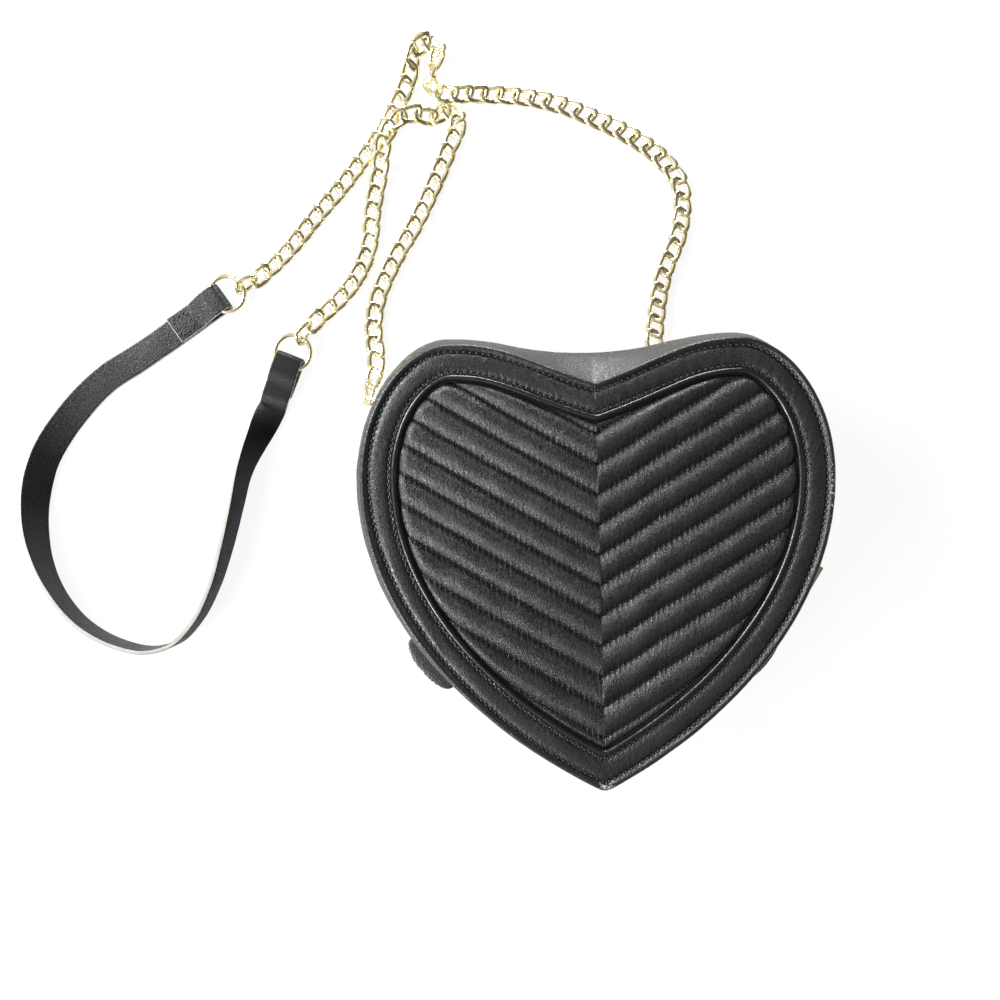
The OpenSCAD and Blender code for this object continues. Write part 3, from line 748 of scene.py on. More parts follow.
@dataclass(frozen=True)
class Plain(Finish):
    """Nylon, card or cut leather edge: a mottled tone with a fine rough skin."""

    colour: Colour = (0.015, 0.015, 0.016, 1)
    high: Colour = (0.035, 0.035, 0.037, 1)
    roughness: float = 0.4
    speck: float = 0.4
    depth: float = 0.03

    def dress(self, graph: Graph, shader: Node) -> None:
        """Fine noise changes the tone, the gloss and the relief."""
        place = graph.place()
        fine = graph.noise(place, self.speck, 4.0, 0.65)
        slow = graph.noise(place, 12 * self.speck, 3.0)
        tone = graph.math("ADD", graph.math("MULTIPLY", fine, 0.5), graph.math("MULTIPLY", slow, 0.5))
        graph.put(shader.inputs["Base Color"], graph.mix(tone, self.colour, self.high))
        self.gloss(graph, shader, fine, (0.3, 0.7), (self.roughness - 0.06, self.roughness + 0.06))
        self.relief(graph, shader, graph.math("MULTIPLY", fine, self.depth))


BODY_LEATHER = Leather("body_leather")
QUILT_LEATHER = Leather("quilt_leather", pebble=0.7, crease=0.04, wrinkle=0.08, patchy=0.18,
                        roughness=0.35)
PIPING_LEATHER = Leather("cord_leather", pebble=0.5, depth=0.015, crease=0.01, roughness=0.26,
                         spread=0.04, patchy=0.03, colour=grey(0.003), high=grey(0.007))
RIM_LEATHER = Leather("rim_leather", pebble=0.6, depth=0.04, crease=0.02, roughness=0.34, spread=0.07)
STRAP_FACE = Leather("strap_face_leather", pebble=0.9, depth=0.05, ior=1.36)
STRAP_BACK = Leather("strap_back_leather", pebble=0.5, depth=0.015, roughness=0.5, crease=0.02,
                     ior=1.25, colour=grey(0.003), high=grey(0.006))
CUT_EDGE = Plain("cut_edge", colour=(0.1, 0.09, 0.08, 1), high=(0.42, 0.4, 0.37, 1), roughness=0.7,
                 speck=0.6, depth=0.05)
BLACK_THREAD = Thread("black_thread")
PALE_THREAD = Thread("pale_thread", colour=(0.42, 0.38, 0.3, 1), high=(0.8, 0.76, 0.66, 1))
ZIP_TAPE = Cloth("zip_tape_cloth", pitch=0.55)
LINING_CLOTH = Cloth("lining_cloth", pitch=0.42, roughness=0.6, sheen=0.3,
                     colour=(0.014, 0.013, 0.013, 1), high=(0.04, 0.038, 0.037, 1))
ZIP_NYLON = Plain("zip_nylon", roughness=0.35)
CARD_BOARD = Plain("card_board", colour=(0.2, 0.15, 0.09, 1), high=(0.34, 0.27, 0.18, 1),
                   roughness=0.85)
GOLD = Metal("pale_gold")


# The heart


@dataclass(frozen=True)
class HeartCurve:
    """A heart outline. Each half is three Bezier curves: notch to lobe, to widest line, to tip."""

    half_w: float
    notch: float
    lobe: float
    tip: float
    arm: float
    lobe_share: float = 0.61
    tip_angle: float = 26.6
    handles: tuple[float, ...] = (0.3, 0.24, 0.175, 0.35, 0.555, 0.63)
    spans: tuple[int, ...] = (190, 210, 480)
    soft: int = 36

    @cached_property
    def pieces(self) -> Array:
        """Control points of the three curves, shaped (3, 4, 2)."""
        w, h, x = self.half_w, self.handles, self.lobe_share
        arm, low = math.radians(self.arm), math.radians(self.tip_angle)
        return np.array([
            [[0, self.notch], [w * h[0] * math.cos(arm), self.notch + w * h[0] * math.sin(arm)],
             [w * (x - h[1]), self.lobe], [w * x, self.lobe]],
            [[w * x, self.lobe], [w * (x + h[2]), self.lobe], [w, w * h[3]], [w, 0]],
            [[w, 0], [w, -w * h[4]],
             [w * h[5] * math.cos(low), w * h[5] * math.sin(low) - self.tip], [0, -self.tip]]])

    def at(self, u: Array) -> tuple[Array, Array]:
        """Place and outward direction at u.

        Args:
            u: Parameter from 0 at the notch to 3 at the tip.

        Returns:
            The Bezier point, and its slope turned a quarter to the outside, both shaped (n, 2).
        """
        k = np.clip(np.floor(u), 0, 2).astype(int)
        t = (u - k)[:, None]
        p, s = self.pieces[k], 1 - t
        place = (s**3 * p[:, 0] + 3 * s**2 * t * p[:, 1] + 3 * s * t**2 * p[:, 2] + t**3 * p[:, 3])
        slope = unit(s**2 * (p[:, 1] - p[:, 0]) + 2 * s * t * (p[:, 2] - p[:, 1])
                     + t**2 * (p[:, 3] - p[:, 2]))
        return place, np.stack([-slope[:, 1], slope[:, 0]], 1)

    def moved(self, u: Array, d: float) -> Array:
        """The places at u moved outwards by d; at the notch and the tip they stay on the middle line."""
        place, out = self.at(u)
        ends = (u <= 0) | (u >= 3)
        axis = np.stack([0 * u, place[:, 1] + d / np.where(ends, out[:, 1], 1.0)], 1)
        return np.where(ends[:, None], axis, place + d * out)

    def half(self, d: float) -> Array:
        """The right half moved outwards by d, from the notch to the tip, shaped (n, 2).

        Every span between the notch, the lobe, the widest line and the tip has even steps.
        """
        parts = []
        for k, count in enumerate(self.spans):
            line = self.moved(np.linspace(k, k + 1, 900), d)
            inside = line[:, 0] > 1e-6
            inside[0 if k == 0 else -1] = True
            line = line[inside]
            step = run_of(line)[-1] / count
            parts.append(resample(line, np.arange(count + (k == 2)) * step))
        return np.concatenate(parts)

    def ring(self, d: float) -> Array:
        """The whole outline moved outwards by d, from the notch round the right side and the left.

        Near the tip and the notch the neighbours are averaged in turn, which rounds them.
        """
        right = self.half(d)
        ring = np.concatenate([right, (right * [-1, 1])[-2:0:-1]])
        near = np.abs(np.arange(len(ring)) - (len(right) - 1))
        from_notch = np.minimum(np.arange(len(ring)), len(ring) - np.arange(len(ring)))
        share = (bell(near, 17.0) + 0.5 * bell(from_notch, 10.0))[:, None]
        for _ in range(self.soft):
            ring = ring + share * 0.7 * ((np.roll(ring, 1, 0) + np.roll(ring, -1, 0)) / 2 - ring)
        return ring

    @staticmethod
    def normals(ring: Array) -> Array:
        """Outward directions of a ring of points."""
        way = unit(np.roll(ring, -1, 0) - np.roll(ring, 1, 0))
        return np.stack([-way[:, 1], way[:, 0]], 1)


RIM = HeartCurve(95.0, 37.9, 54.7, 125.8, 18.6)
ZIP_LINE = HeartCurve(99.5, 53.6, 60.4, 130.3, 0.0)
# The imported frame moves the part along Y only, and its lowest Y is the wall's at the tip.
ROW_SHIFT = np.array([0.0, round(float(CAD_BOX[0][1]) / MM + ZIP_LINE.tip, 4), 0.0])
# Levels: the zip, the seams of the wall on both rims, the front board's face and the wall's lining
ZIP_Z = 28.5
SEAM_LOW = 2.8
SEAM_HIGH = 2 * ZIP_Z - SEAM_LOW
BOARD_TOP = 54.1
LINING_FOOT = 3.4
LINING_TOP = 51.9
# The wall: its face at the rim, half the gap beside the zip, its thickness, and where the zip ends
WALL_OUT = -0.65
EDGE_GAP = 5.0
WALL_T = 1.2
ZIP_END_Y = 77.0
RIM_PIPING_R = 1.3
# The seams of the quilting rise from the middle line at this angle.
QUILT_ANGLE = math.radians(31.0)
QUILT_TAN = math.tan(QUILT_ANGLE)
QUILT_COS = math.cos(QUILT_ANGLE)


@dataclass(frozen=True)
class Wall:
    """The purse's side wall: it leaves the rim upright and leans out to the zip on a quarter wave."""

    def place(self, u: Array, z: float, d: Array | float) -> Array:
        """Places on the wall.

        Args:
            u: Signed parameter along the outline; below 0 is the left side.
            z: Level.
            d: Distance outwards from the wall's face.

        Returns:
            a + (b - a) sin(90 s), where a is on the rim, b on the zip's line and s is the share of the
            level between the seam and the zip; shaped (n, 3).
        """
        s = min(1.0, (ZIP_Z - abs(z - ZIP_Z) - SEAM_LOW) / (ZIP_Z - EDGE_GAP - SEAM_LOW))
        lean = math.sin(math.pi / 2 * max(s, -0.1))
        side = np.abs(u)
        flat_low, flat_high = RIM.moved(side, WALL_OUT), ZIP_LINE.moved(side, 0.0)
        out = unit(RIM.at(side)[1] * (1 - lean) + ZIP_LINE.at(side)[1] * lean)
        out[side <= 0] = [0, 1]
        out[side >= 3] = [0, -1]
        flat = flat_low + (flat_high - flat_low) * lean + out * np.reshape(d, (-1, 1))
        flat = np.where((u < 0)[:, None], flat * [-1, 1], flat)
        return at_level(flat, z)

    def samples(self, start: float, end: float, spacing: float) -> Array:
        """Signed parameters between two ends at even distances along the zip's line."""
        u = np.linspace(start, end, 4001)
        place = self.place(u, ZIP_Z, 0.0)
        run = run_of(place)
        return np.interp(np.linspace(0, run[-1], int(run[-1] / spacing) + 1), run, u)

    def beside_zip(self, spacing: float) -> Array:
        """Signed parameters from the zip's left end over the notch to its right end."""
        return self.samples(-self.zip_end, self.zip_end, spacing)

    def round_tip(self, spacing: float) -> Array:
        """Signed parameters from just past the zip's right end round the tip to its left end."""
        right = self.samples(self.zip_end + 0.0012, 3.0, spacing)
        return np.concatenate([right, -right[-2::-1]])

    @cached_property
    def zip_end(self) -> float:
        """Parameter where the zip ends."""
        u = np.linspace(2, 3, 2001)
        return float(np.interp(ZIP_END_Y, -ZIP_LINE.at(u)[0][:, 1], u))


WALL = Wall()


def strip(shell: Shell, us: Array, levels: Array, outs: Array, thick: float, ripple: Array) -> None:
    """Adds a strip of the wall with its inner face and its edges.

    The section at each u goes up the outer face through the levels and back down the inner face, which
    lies a thickness inside. Both ends close to a line midway between the faces.

    Args:
        shell: Shell that the strip goes into.
        us: Signed parameters along the outline.
        levels: Levels of the rows of the outer face, rising.
        outs: Distance outwards of each row.
        thick: Thickness.
        ripple: Extra distance outwards, shaped (rows, len(us)).
    """
    outer = np.stack([WALL.place(us, z, o + r) for z, o, r in zip(levels, outs, ripple)])
    inner = np.stack([WALL.place(us, z, o - thick + r)
                      for z, o, r in zip(levels[::-1], outs[::-1], ripple[::-1])])
    section = np.concatenate([outer, inner]).transpose(1, 0, 2)
    half = (section + section[:, ::-1]) / 2
    section = np.concatenate([half[:1], section, half[-1:]])
    run = run_of(outer[len(outer) // 2])
    run = np.concatenate([run[:1], run, run[-1:]])
    across = np.concatenate([levels, levels[::-1] + 2 * (levels[-1] - levels[0])])
    shell.grids(section, closed_v=True, uv=chart(run, across), flip=True)


@dataclass
class HeartSheet:
    """Fills a heart with rows that follow the V of the quilting.

    With c = y - |x| tan(angle), every line of one c meets the half heart in a single stretch from the
    middle line to X(c), so a row is x = s X(c), y = c + x tan(angle).
    """

    inset: float
    step: float = 1.0
    columns: int = 60
    offset: float = 0.0
    shares: tuple[float, ...] = (0.0,)

    def rows(self) -> tuple[Array, Array]:
        """The c of each row from the notch to the tip, and its X(c)."""
        half = RIM.half(self.inset)
        c = half[:, 1] - half[:, 0] * QUILT_TAN
        first = math.ceil((c[0] - self.offset) / self.step)
        whole = first - np.arange(int((c[0] - c[-1]) / self.step) + 3)
        inner = self.offset + self.step * (whole[:, None] - np.array(self.shares)).ravel()
        inner = inner[(inner < c[0] - 0.1) & (inner > c[-1] + 0.1)]
        rows = np.concatenate([c[:1], inner, c[-1:]])
        reach = np.interp(-rows, -c, half[:, 0])
        reach[0] = reach[-1] = 0
        return rows, reach

    def grid(self) -> tuple[Array, Array, Array]:
        """x and y of every point of the right half, and the c of its row, shaped (rows, columns)."""
        rows, reach = self.rows()
        s = np.linspace(0, 1, self.columns)[None, :]
        x = reach[:, None] * s
        c = rows[:, None] + 0 * s
        return x, c + x * QUILT_TAN, c

    def edge_distance(self, x: Array, y: Array) -> Array:
        """Distance of points from the sheet's outline: the least over the pieces of the outline."""
        half = RIM.half(self.inset)
        half = np.concatenate([half[:-1:3], half[-1:]])
        a, b = half[:-1], half[1:]
        ab = b - a
        size = (ab**2).sum(1)
        points = np.stack([x.ravel(), y.ravel()], 1)
        result = []
        for part in np.array_split(points, max(1, len(points) // 2000)):
            ap = part[:, None] - a[None]
            t = np.clip((ap * ab).sum(-1) / size, 0, 1)
            gap = ap - t[..., None] * ab
            result.append(np.sqrt((gap**2).sum(-1).min(1)))
        return np.concatenate(result).reshape(x.shape)

    def add(self, shell: Shell, top: Array, low: float, under: bool = False,
            wear_and_highlight: Optional[Array] = None) -> None:
        """Adds both halves as a closed slab.

        Args:
            shell: Shell that the slab goes into.
            top: Level of the grid's points, for the face that shows, for each side (2, rows, columns).
            low: Level of the flat other face.
            under: The face that shows looks down.
            wear_and_highlight: Share of pale wear and painted highlight of the points, as top.
        """
        x, y, c = self.grid()
        for side in (0, 1):
            sign = 1 - 2 * side
            face = np.stack([sign * x, y, top[side]], -1)
            uv = np.stack([sign * x / QUILT_COS, c * QUILT_COS], -1)
            ends = np.stack([sign * x, y, 0 * x + low], -1)[:, [0, -1]]
            turn = (side == 1) != under
            level = None if wear_and_highlight is None else wear_and_highlight[side]
            shell.grids(face, uv=uv, flip=turn, wear_and_highlight=level)
            shell.grids(np.stack([face[:, -1], ends[:, -1]], 1), flip=turn)
            shell.grids(ends, flip=not turn)


# Sub-assemblies


class Half(Enum):
    """The two halves of the purse, by the names of their bodies; the zip joins them."""

    FRONT = "front"
    BACK = "back"

    @property
    def sign(self) -> int:
        """1 above the zip and -1 below it."""
        return 1 if self is Half.FRONT else -1


def side_name(side: int) -> str:
    """The side in the names of pieces and nodes, from 1 on the right and -1 on the left."""
    return "left" if side < 0 else "right"


def gold_tube(node: str, grid: Array, body: str = "back", flip: bool = False) -> None:
    """Builds a closed tube of gold that stands for a node of the part."""
    shell = Shell(f"{node}_metal")
    shell.grids(grid, closed_u=True, closed_v=True, flip=flip)
    shell.build([GOLD], body, "gold", (node,))


@dataclass
class FrontPanel:
    """The quilted panel, its border and the pipings, on the front board."""

    pitch: float = 12.15
    apex: float = 17.3
    puff: float = 2.75
    seam_z: float = 55.2
    inset: float = -15.2
    hem: float = 0.45
    quilt_stitch: Stitch = Stitch(2.5, 0.68, 0.85, 0.12)
    border_stitch: Stitch = Stitch(2.55, 0.64, 0.8, 0.12)

    @cached_property
    def sheet(self) -> HeartSheet:
        """The rows of the panel, closer together beside the seams."""
        off = np.array([0.3, 0.65, 1.05, 1.55, 2.2, 3.1, 4.2, 5.3]) / self.pitch
        shares = (0.0, *off, *(1 - off[::-1]))
        return HeartSheet(self.inset, step=self.pitch, columns=240, offset=self.apex, shares=shares)

    @staticmethod
    def wander(run: Array, side: int) -> Array:
        """How far a seam strays from its straight line."""
        return 0.35 * noise(run / 14, 3.1 * side, 5) * falloff(run, 0, 10)

    @staticmethod
    def start(number: Array | float, side: int) -> Array | float:
        """Share of a stitch by which a seam's row is shifted."""
        return (number * 0.37 + 0.3 * side) % 1.0

    def channels(self, x: Array, y: Array, side: int) -> tuple[Array, Array]:
        """Run along the seams of places on the panel, and their count of channels below the apex."""
        run = x / QUILT_COS
        return run, (self.apex - (y - x * QUILT_TAN) + self.wander(run, side)) / self.pitch

    def level(self, x: Array, y: Array, edge: Array, side: int, stitched: bool = True) -> Array:
        """Level of the quilted leather.

        Across a channel the padding stands as a power of a sine. Between two stitches the leather
        bridges the seam as a narrow ridge, the channel's edge swells beside it, and wrinkles run across
        from there. Near the piping the whole channel rounds down as a quarter ellipse.

        Args:
            x: Distance from the middle line.
            y: Height on the panel.
            edge: Distance from the panel's outline.
            side: 0 on the right and 1 on the left, which changes the noise.
            stitched: The leather stands up between the stitches.

        Returns:
            Levels shaped as x.
        """
        run, t = self.channels(x, y, side)
        number, share = np.floor(t), t - np.floor(t)
        arch = np.sin(math.pi * share) ** 0.7
        uneven = 1 + 0.09 * noise(run / 9, number * 1.7 + 11 * side, 8)
        gap = np.minimum(share, 1 - share) * self.pitch * QUILT_COS
        nearest = number + (share > 0.5)
        phase = run / self.quilt_stitch.pitch + self.start(nearest, side)
        part = np.abs(phase - np.round(phase))
        bridge = 0.45 * bell(part, 0.16) * bell(gap, 0.85) * stitched
        swell = 0.1 * np.cos(2 * math.pi * phase) * (gap / 0.9) * np.exp(-(gap / 0.9) ** 1.3)
        pull = noise(run / 1.5, gap / 6 + nearest * 2.3 + 17 * side, 21)
        fine = noise(run / 0.85, gap / 3 + nearest * 5.1 + 7 * side, 33)
        wrinkle = (0.1 * pull + 0.05 * fine) * (0.1 + np.exp(-gap / 1.9)) * falloff(gap, 0.0, 0.6)
        slow = 0.1 * noise(x / 26 + 40 * side, y / 26, 2)
        rim = np.clip(edge / 4.2, 0, 1)
        rounding = np.sqrt(np.maximum(1 - (1 - rim) ** 2, 0))
        crest = self.seam_z + self.puff * arch * uneven + slow + wrinkle + swell + bridge
        foot = BOARD_TOP + self.hem
        return foot + (crest - foot) * rounding

    def bridge_highlights(self, x: Array, y: Array) -> Array:
        """Painted highlight on the leather's bridges between the stitches of the seams, for both sides.
        """
        result = []
        for side in (0, 1):
            run, t = self.channels(x, y, side)
            phase = run / self.quilt_stitch.pitch + self.start(np.round(t), side)
            part = phase - np.round(phase)
            gap = (t - np.round(t)) * self.pitch * QUILT_COS
            result.append(0.2 * bell(part, 0.2) * bell(gap, 0.8))
        return np.stack(result)

    def quilted(self) -> None:
        """The padded panel with its rows of stitches."""
        shell = Shell("quilted_front_panel")
        sheet = self.sheet
        x, y, _ = sheet.grid()
        edge = sheet.edge_distance(x, y)
        top = np.stack([self.level(x, y, edge, side) for side in (0, 1)])
        top[:, :, 0] = top[:, :, 0].mean(0)
        rubbed = np.stack([0.22 * spot(x, y, (56, 13), 90, 90), 0.26 * spot(x, y, (14, 17), 60, 60)])
        # Wear on the quilting, plus the painted highlight on its stitch bridges
        wear_and_bridge_highlights = self.bridge_highlights(x, y) + 0.12 + rubbed
        sheet.add(shell, top, BOARD_TOP + 0.05, wear_and_highlight=wear_and_bridge_highlights)
        piece = shell.build([QUILT_LEATHER], "front", "quilted_leather",
                            ("quilted_panel", "quilt_foam"))

    def quilt_threads(self) -> None:
        """Stitches along the V of every seam, each pushed a little into its groove."""
        shell = Shell("quilting_threads")
        step = self.quilt_stitch.pitch
        rows, reach = self.sheet.rows()
        for number in range(-1, 12):
            c = self.apex - number * self.pitch
            far = float(np.interp(-c, -rows, reach)) - 1.2
            if far < 3:
                continue
            for side in (0, 1):
                x = np.linspace(0.0, far, 240)
                run = x / QUILT_COS
                y = c + x * QUILT_TAN + self.wander(run, side)
                edge = self.sheet.edge_distance(x, y)
                z = self.level(x, y, edge, side, False) + 0.16
                line = np.stack([(1 - 2 * side) * x, y, z], 1)
                middles = (np.arange(1, 60) - 0.5 - self.start(number, side)) * step
                sewn = np.interp(middles, run, edge) > 1.1
                middles = middles[sewn & (middles > 0.5 * step) & (middles < run[-1] - 0.5)]
                at = np.interp(middles, run, run_of(line))
                self.quilt_stitch.sew(shell, line, UP, at)
        shell.build([BLACK_THREAD], "front", "quilted_leather")

    # Section of the border: distance outwards from the rim, level
    PROFILE = ((-1.5, 56.86), (-2.0, 56.72), (-2.45, 56.4), (-2.8, 56.0), (-3.05, 55.7),
               (-3.3, 55.6), (-3.55, 55.72), (-3.85, 56.05), (-4.3, 56.42), (-4.9, 56.68),
               (-5.8, 56.86), (-6.8, 56.93), (-7.8, 56.93), (-8.8, 56.88), (-9.6, 56.76),
               (-10.3, 56.56), (-10.85, 56.25), (-11.2, 55.95), (-11.45, 55.8), (-11.7, 55.9),
               (-11.95, 56.1), (-12.2, 56.14), (-12.5, 55.9), (-12.75, 55.4), (-13.0, 54.7),
               (-16.2, 54.35), (-16.2, 54.12), (-9.0, 54.12), (-2.9, 54.12), (-2.0, 54.5), (-1.4, 55.4))
    OUTER_SEAM = -3.3
    INNER_SEAM = -11.45
    BORDER_TOP = 57.2
    BORDER_FOOT = 55.5

    def seam_drift(self, ring: Array) -> Array:
        """How far the outer seam strays inwards: up to 1.3 mm on the lower left flank."""
        return -1.3 * spot(ring[:, 0], ring[:, 1], (-66, -42), 45**2, 45**2)

    def border_row(self, d: float, z: float) -> Array:
        """One row of the border with its pulls at the stitches.

        Args:
            d: Distance outwards from the rim.
            z: Level.

        Returns:
            Places shaped (n, 3). Each seam's pull is a wave of its own pitch that dies off within a
            millimetre and a half of the seam, on top of a slow unevenness.
        """
        ring = RIM.ring(d)
        out = RIM.normals(ring)
        weight = falloff(d, -9.0, -3.4) * (1 - falloff(d, -2.6, -1.6))
        ring = ring + out * (self.seam_drift(ring) * weight)[:, None]
        run = run_of(ring)
        lift = 0 * run
        if z > self.BORDER_FOOT:
            for seam, seed in ((self.OUTER_SEAM, 61), (self.INNER_SEAM, 62)):
                count = self.border_stitch.count(looped(RIM.ring(seam)))
                phase = run / run[-1] * count
                gap = abs(d - seam)
                part = np.abs(phase - np.round(phase))
                lift = lift + 0.2 * bell(part, 0.17) * bell(gap, 0.6)
                lift = lift + 0.08 * np.cos(2 * math.pi * phase) * math.exp(-(gap / 1.1) ** 1.5)
                lift = lift + 0.12 * noise(run / 1.7, gap / 4, seed) * math.exp(-gap / 2.2)
            lift = lift + 0.09 * noise(run / 2.6, d / 5, 63) + 0.16 * noise(run / 17, d / 9, 64)
            lift = lift * falloff(np.array(-d), 1.6, 2.6)
        return at_level(ring, np.minimum(z + lift, self.BORDER_TOP))

    def between(self, ring: Array) -> Array:
        """1 midway between two stitches of a seam of the border, and 0 on the stitches."""
        run = run_of(ring)
        phase = run / run[-1] * self.border_stitch.count(looped(ring))
        return bell(phase - np.round(phase), 0.2)

    def border(self) -> None:
        """The plain border between the rim and the panel, as one closed band."""
        shell = Shell("front_border_leather")
        band = np.stack([self.border_row(d, z) for d, z in self.PROFILE])
        run = run_of(RIM.ring(-8.0))
        section = np.array(self.PROFILE)
        across = run_of(section)
        uv = chart(across, run)[..., ::-1]
        x, y, d = band[..., 0], band[..., 1], section[:, :1]
        outer = falloff(d, -4.6, -1.8)
        wear_and_highlight = 0.14 + outer * (0.36 * spot(x, y, (0, -122), 50, 50) + 0.34 * spot(x, y, (92, 5), 40, 160)
                               + 0.14 * spot(x, y, (50, -85), 1500, 1500))
        # Paler spots midway between the stitches of both seams are a painted highlight on the bridging
        # leather
        for seam in (self.OUTER_SEAM, self.INNER_SEAM):
            wear_and_highlight = wear_and_highlight + 0.1 * self.between(RIM.ring(seam)) * bell(d - seam, 0.8)
        shell.grids(band, closed_u=True, closed_v=True, uv=uv, wear_and_highlight=wear_and_highlight)
        shell.build([BODY_LEATHER], "front", "leather", ("front_border",))

    def border_threads(self) -> None:
        """Both rows of stitches of the border."""
        shell = Shell("border_threads")
        for seam, z in ((self.OUTER_SEAM, 56.02), (self.INNER_SEAM, 56.18)):
            line = at_level(self.border_row(seam, self.BORDER_FOOT)[:, :2], z)
            self.border_stitch.sew(shell, looped(line), UP)
        shell.build([BLACK_THREAD], "front", "leather")

    def piping(self, name: str, d: float, radius: float, z: float, half: Half, node: str,
               finish: Leather) -> None:
        """A leather piping along the outline: a tube whose thickness wavers by a few hundredths.

        Args:
            name: Name of the piece.
            d: Distance outwards of its middle.
            radius: Its radius.
            z: Level of its middle.
            half: Half of the purse that it is on.
            node: Node that it stands for.
            finish: Its leather.
        """
        shell = Shell(name)
        ring = RIM.ring(d)
        run = run_of(ring)
        size = radius * (1 + 0.03 * noise(run / 5, 0, 71) + 0.02 * noise(run / 1.3, 0, 72))
        grid = tube(at_level(ring, z), size, 16, True, UP)
        grid[..., 2] += (0.1 * noise(run / 12, 0, 73))[:, None]
        x, y = grid[..., 0], grid[..., 1]
        tips = 0.33 * spot(x, y, (93, -8), 30, 500) + 0.36 * spot(x, y, (0, -124), 40, 40)
        wear_and_highlight = 0.14 + (d > self.OUTER_SEAM) * (tips + 0.2 * spot(x, y, (55, -85), 1600, 1600))
        uv = chart(run, np.arange(16) * radius * 0.39)
        shell.grids(grid, closed_u=True, closed_v=True, uv=uv, wear_and_highlight=wear_and_highlight)
        shell.build([finish], half.value, "piping_leather", (node,))

    def rim_piping(self, half: Half) -> None:
        """The piping round the rim of one half, level with its outer face."""
        z = ZIP_Z + half.sign * (ZIP_Z - RIM_PIPING_R)
        self.piping(f"{half.value}_rim_piping", -RIM_PIPING_R, RIM_PIPING_R, z, half,
                    f"{half.value}_piping", RIM_LEATHER)

    def build(self) -> None:
        """Builds every piece of the front."""
        self.quilted()
        self.quilt_threads()
        self.border()
        self.border_threads()
        self.piping("panel_piping_cord", -13.6, 1.2, 56.0, Half.FRONT, "panel_piping", PIPING_LEATHER)
        self.rim_piping(Half.FRONT)


@dataclass
class SideWalls:
    """The gussets between the rims and the zip, and the deep one under the tip."""

    spacing: float = 0.8
    edge_stitch: Stitch = Stitch(2.6, 0.66, 0.66, 0.14)
    seam_from_edge: float = 5.6

    def ripple(self, us: Array, levels: Array, seed: int, seam_z: Optional[float]) -> Array:
        """Unevenness of a wall, shaped (levels, us): slow buckles plus the pulls of the edge seam."""
        run = run_of(WALL.place(us, ZIP_Z, 0.0))[None, :]
        z = levels[:, None]
        inner = falloff(np.abs(z - ZIP_Z), EDGE_GAP, EDGE_GAP + 5) * (
            1 - falloff(np.abs(z - ZIP_Z), 21, 25))
        slow = 0.34 * noise(run / 21, z / 14, seed) + 0.12 * noise(run / 6, z / 7, seed + 1)
        result = slow * inner + 0.05 * noise(run / 2, z / 2, seed + 2)
        if seam_z is not None:
            count = self.edge_stitch.count(WALL.place(us, seam_z, 0.0))
            gap = np.abs(z - seam_z)
            wave = np.cos(2 * math.pi * run / run[0, -1] * count)
            result = result - 0.32 * bell(gap, 0.55) + 0.03 * wave * np.exp(-gap / 0.8)
        return result

    def upper(self, half: Half) -> None:
        """One of the two long gussets beside the zip, with its folded edge and its stitches."""
        us = WALL.beside_zip(self.spacing)
        rise = np.concatenate([[0.0, 0.06, 0.25, 0.6, 1.1, 1.9, 2.9, 3.9], np.linspace(4.6, 6.6, 9),
                               np.linspace(7.6, 20.7, 12)])
        fold = -0.6 * np.maximum(1 - rise / 0.6, 0) ** 2
        levels = (ZIP_Z + half.sign * (EDGE_GAP + rise))[::half.sign]
        seam = ZIP_Z + half.sign * (EDGE_GAP + self.seam_from_edge)
        node = f"{half.value}_gusset"
        shell = Shell(f"{node}_leather")
        ripple = self.ripple(us, levels, 101 if half is Half.FRONT else 111, seam)
        strip(shell, us, levels, fold[::half.sign], WALL_T, ripple)
        shell.build([BODY_LEATHER], half.value, "leather", (node,))
        threads = Shell(f"{node}_leather_threads")
        near = int(np.argmin(np.abs(levels - seam)))
        line = WALL.place(us, seam, ripple[near] + 0.06)
        out = unit(WALL.place(us, seam, 1.0) - WALL.place(us, seam, 0.0))
        self.edge_stitch.sew(threads, line, out)
        threads.build([BLACK_THREAD], half.value, "leather")

    def lower(self) -> None:
        """The gusset under the tip, from one end of the zip to the other."""
        us = WALL.round_tip(self.spacing)
        levels = np.linspace(SEAM_LOW, SEAM_HIGH, 34)
        shell = Shell("bottom_gusset_leather")
        strip(shell, us, levels, 0 * levels, WALL_T, self.ripple(us, levels, 121, None))
        piece = shell.build([BODY_LEATHER], None, "leather", ("bottom_gusset",))
        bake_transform(piece)

    def build(self) -> None:
        """Builds the three gussets."""
        for half in Half:
            self.upper(half)
        self.lower()


@dataclass
class BackPanel:
    """The plain back with its piping and one row of stitches."""

    inset: float = -2.3
    seam: float = -4.6
    stitch: Stitch = Stitch(3.3, 0.62, 0.5, 0.16)

    def level(self, x: Array, y: Array, edge: Array) -> Array:
        """Level of the back's face: it sags a little between its edges, with a groove at the seam."""
        pillow = falloff(edge, 3, 30)
        slow = 0.12 * noise(x / 22, y / 22, 201) + 0.05 * noise(x / 6, y / 6, 202)
        gap = edge - self.seam - self.inset
        return 0.62 - 0.3 * pillow + slow * pillow + 0.25 * bell(gap, 0.7)

    def build(self, front: FrontPanel) -> None:
        """Builds the back.

        Args:
            front: The front, which knows how pipings are made.
        """
        shell = Shell("back_panel_leather")
        sheet = HeartSheet(self.inset, columns=90)
        x, y, _ = sheet.grid()
        face = self.level(x, y, sheet.edge_distance(x, y))
        sheet.add(shell, np.stack([face, face]), 1.18, under=True)
        shell.build([BODY_LEATHER], "back", "leather", ("back_panel",))
        threads = Shell("back_panel_threads")
        self.stitch.sew(threads, looped(at_level(RIM.ring(self.seam), 0.55)), -UP)
        threads.build([BLACK_THREAD], "back", "leather")
        front.rim_piping(Half.BACK)


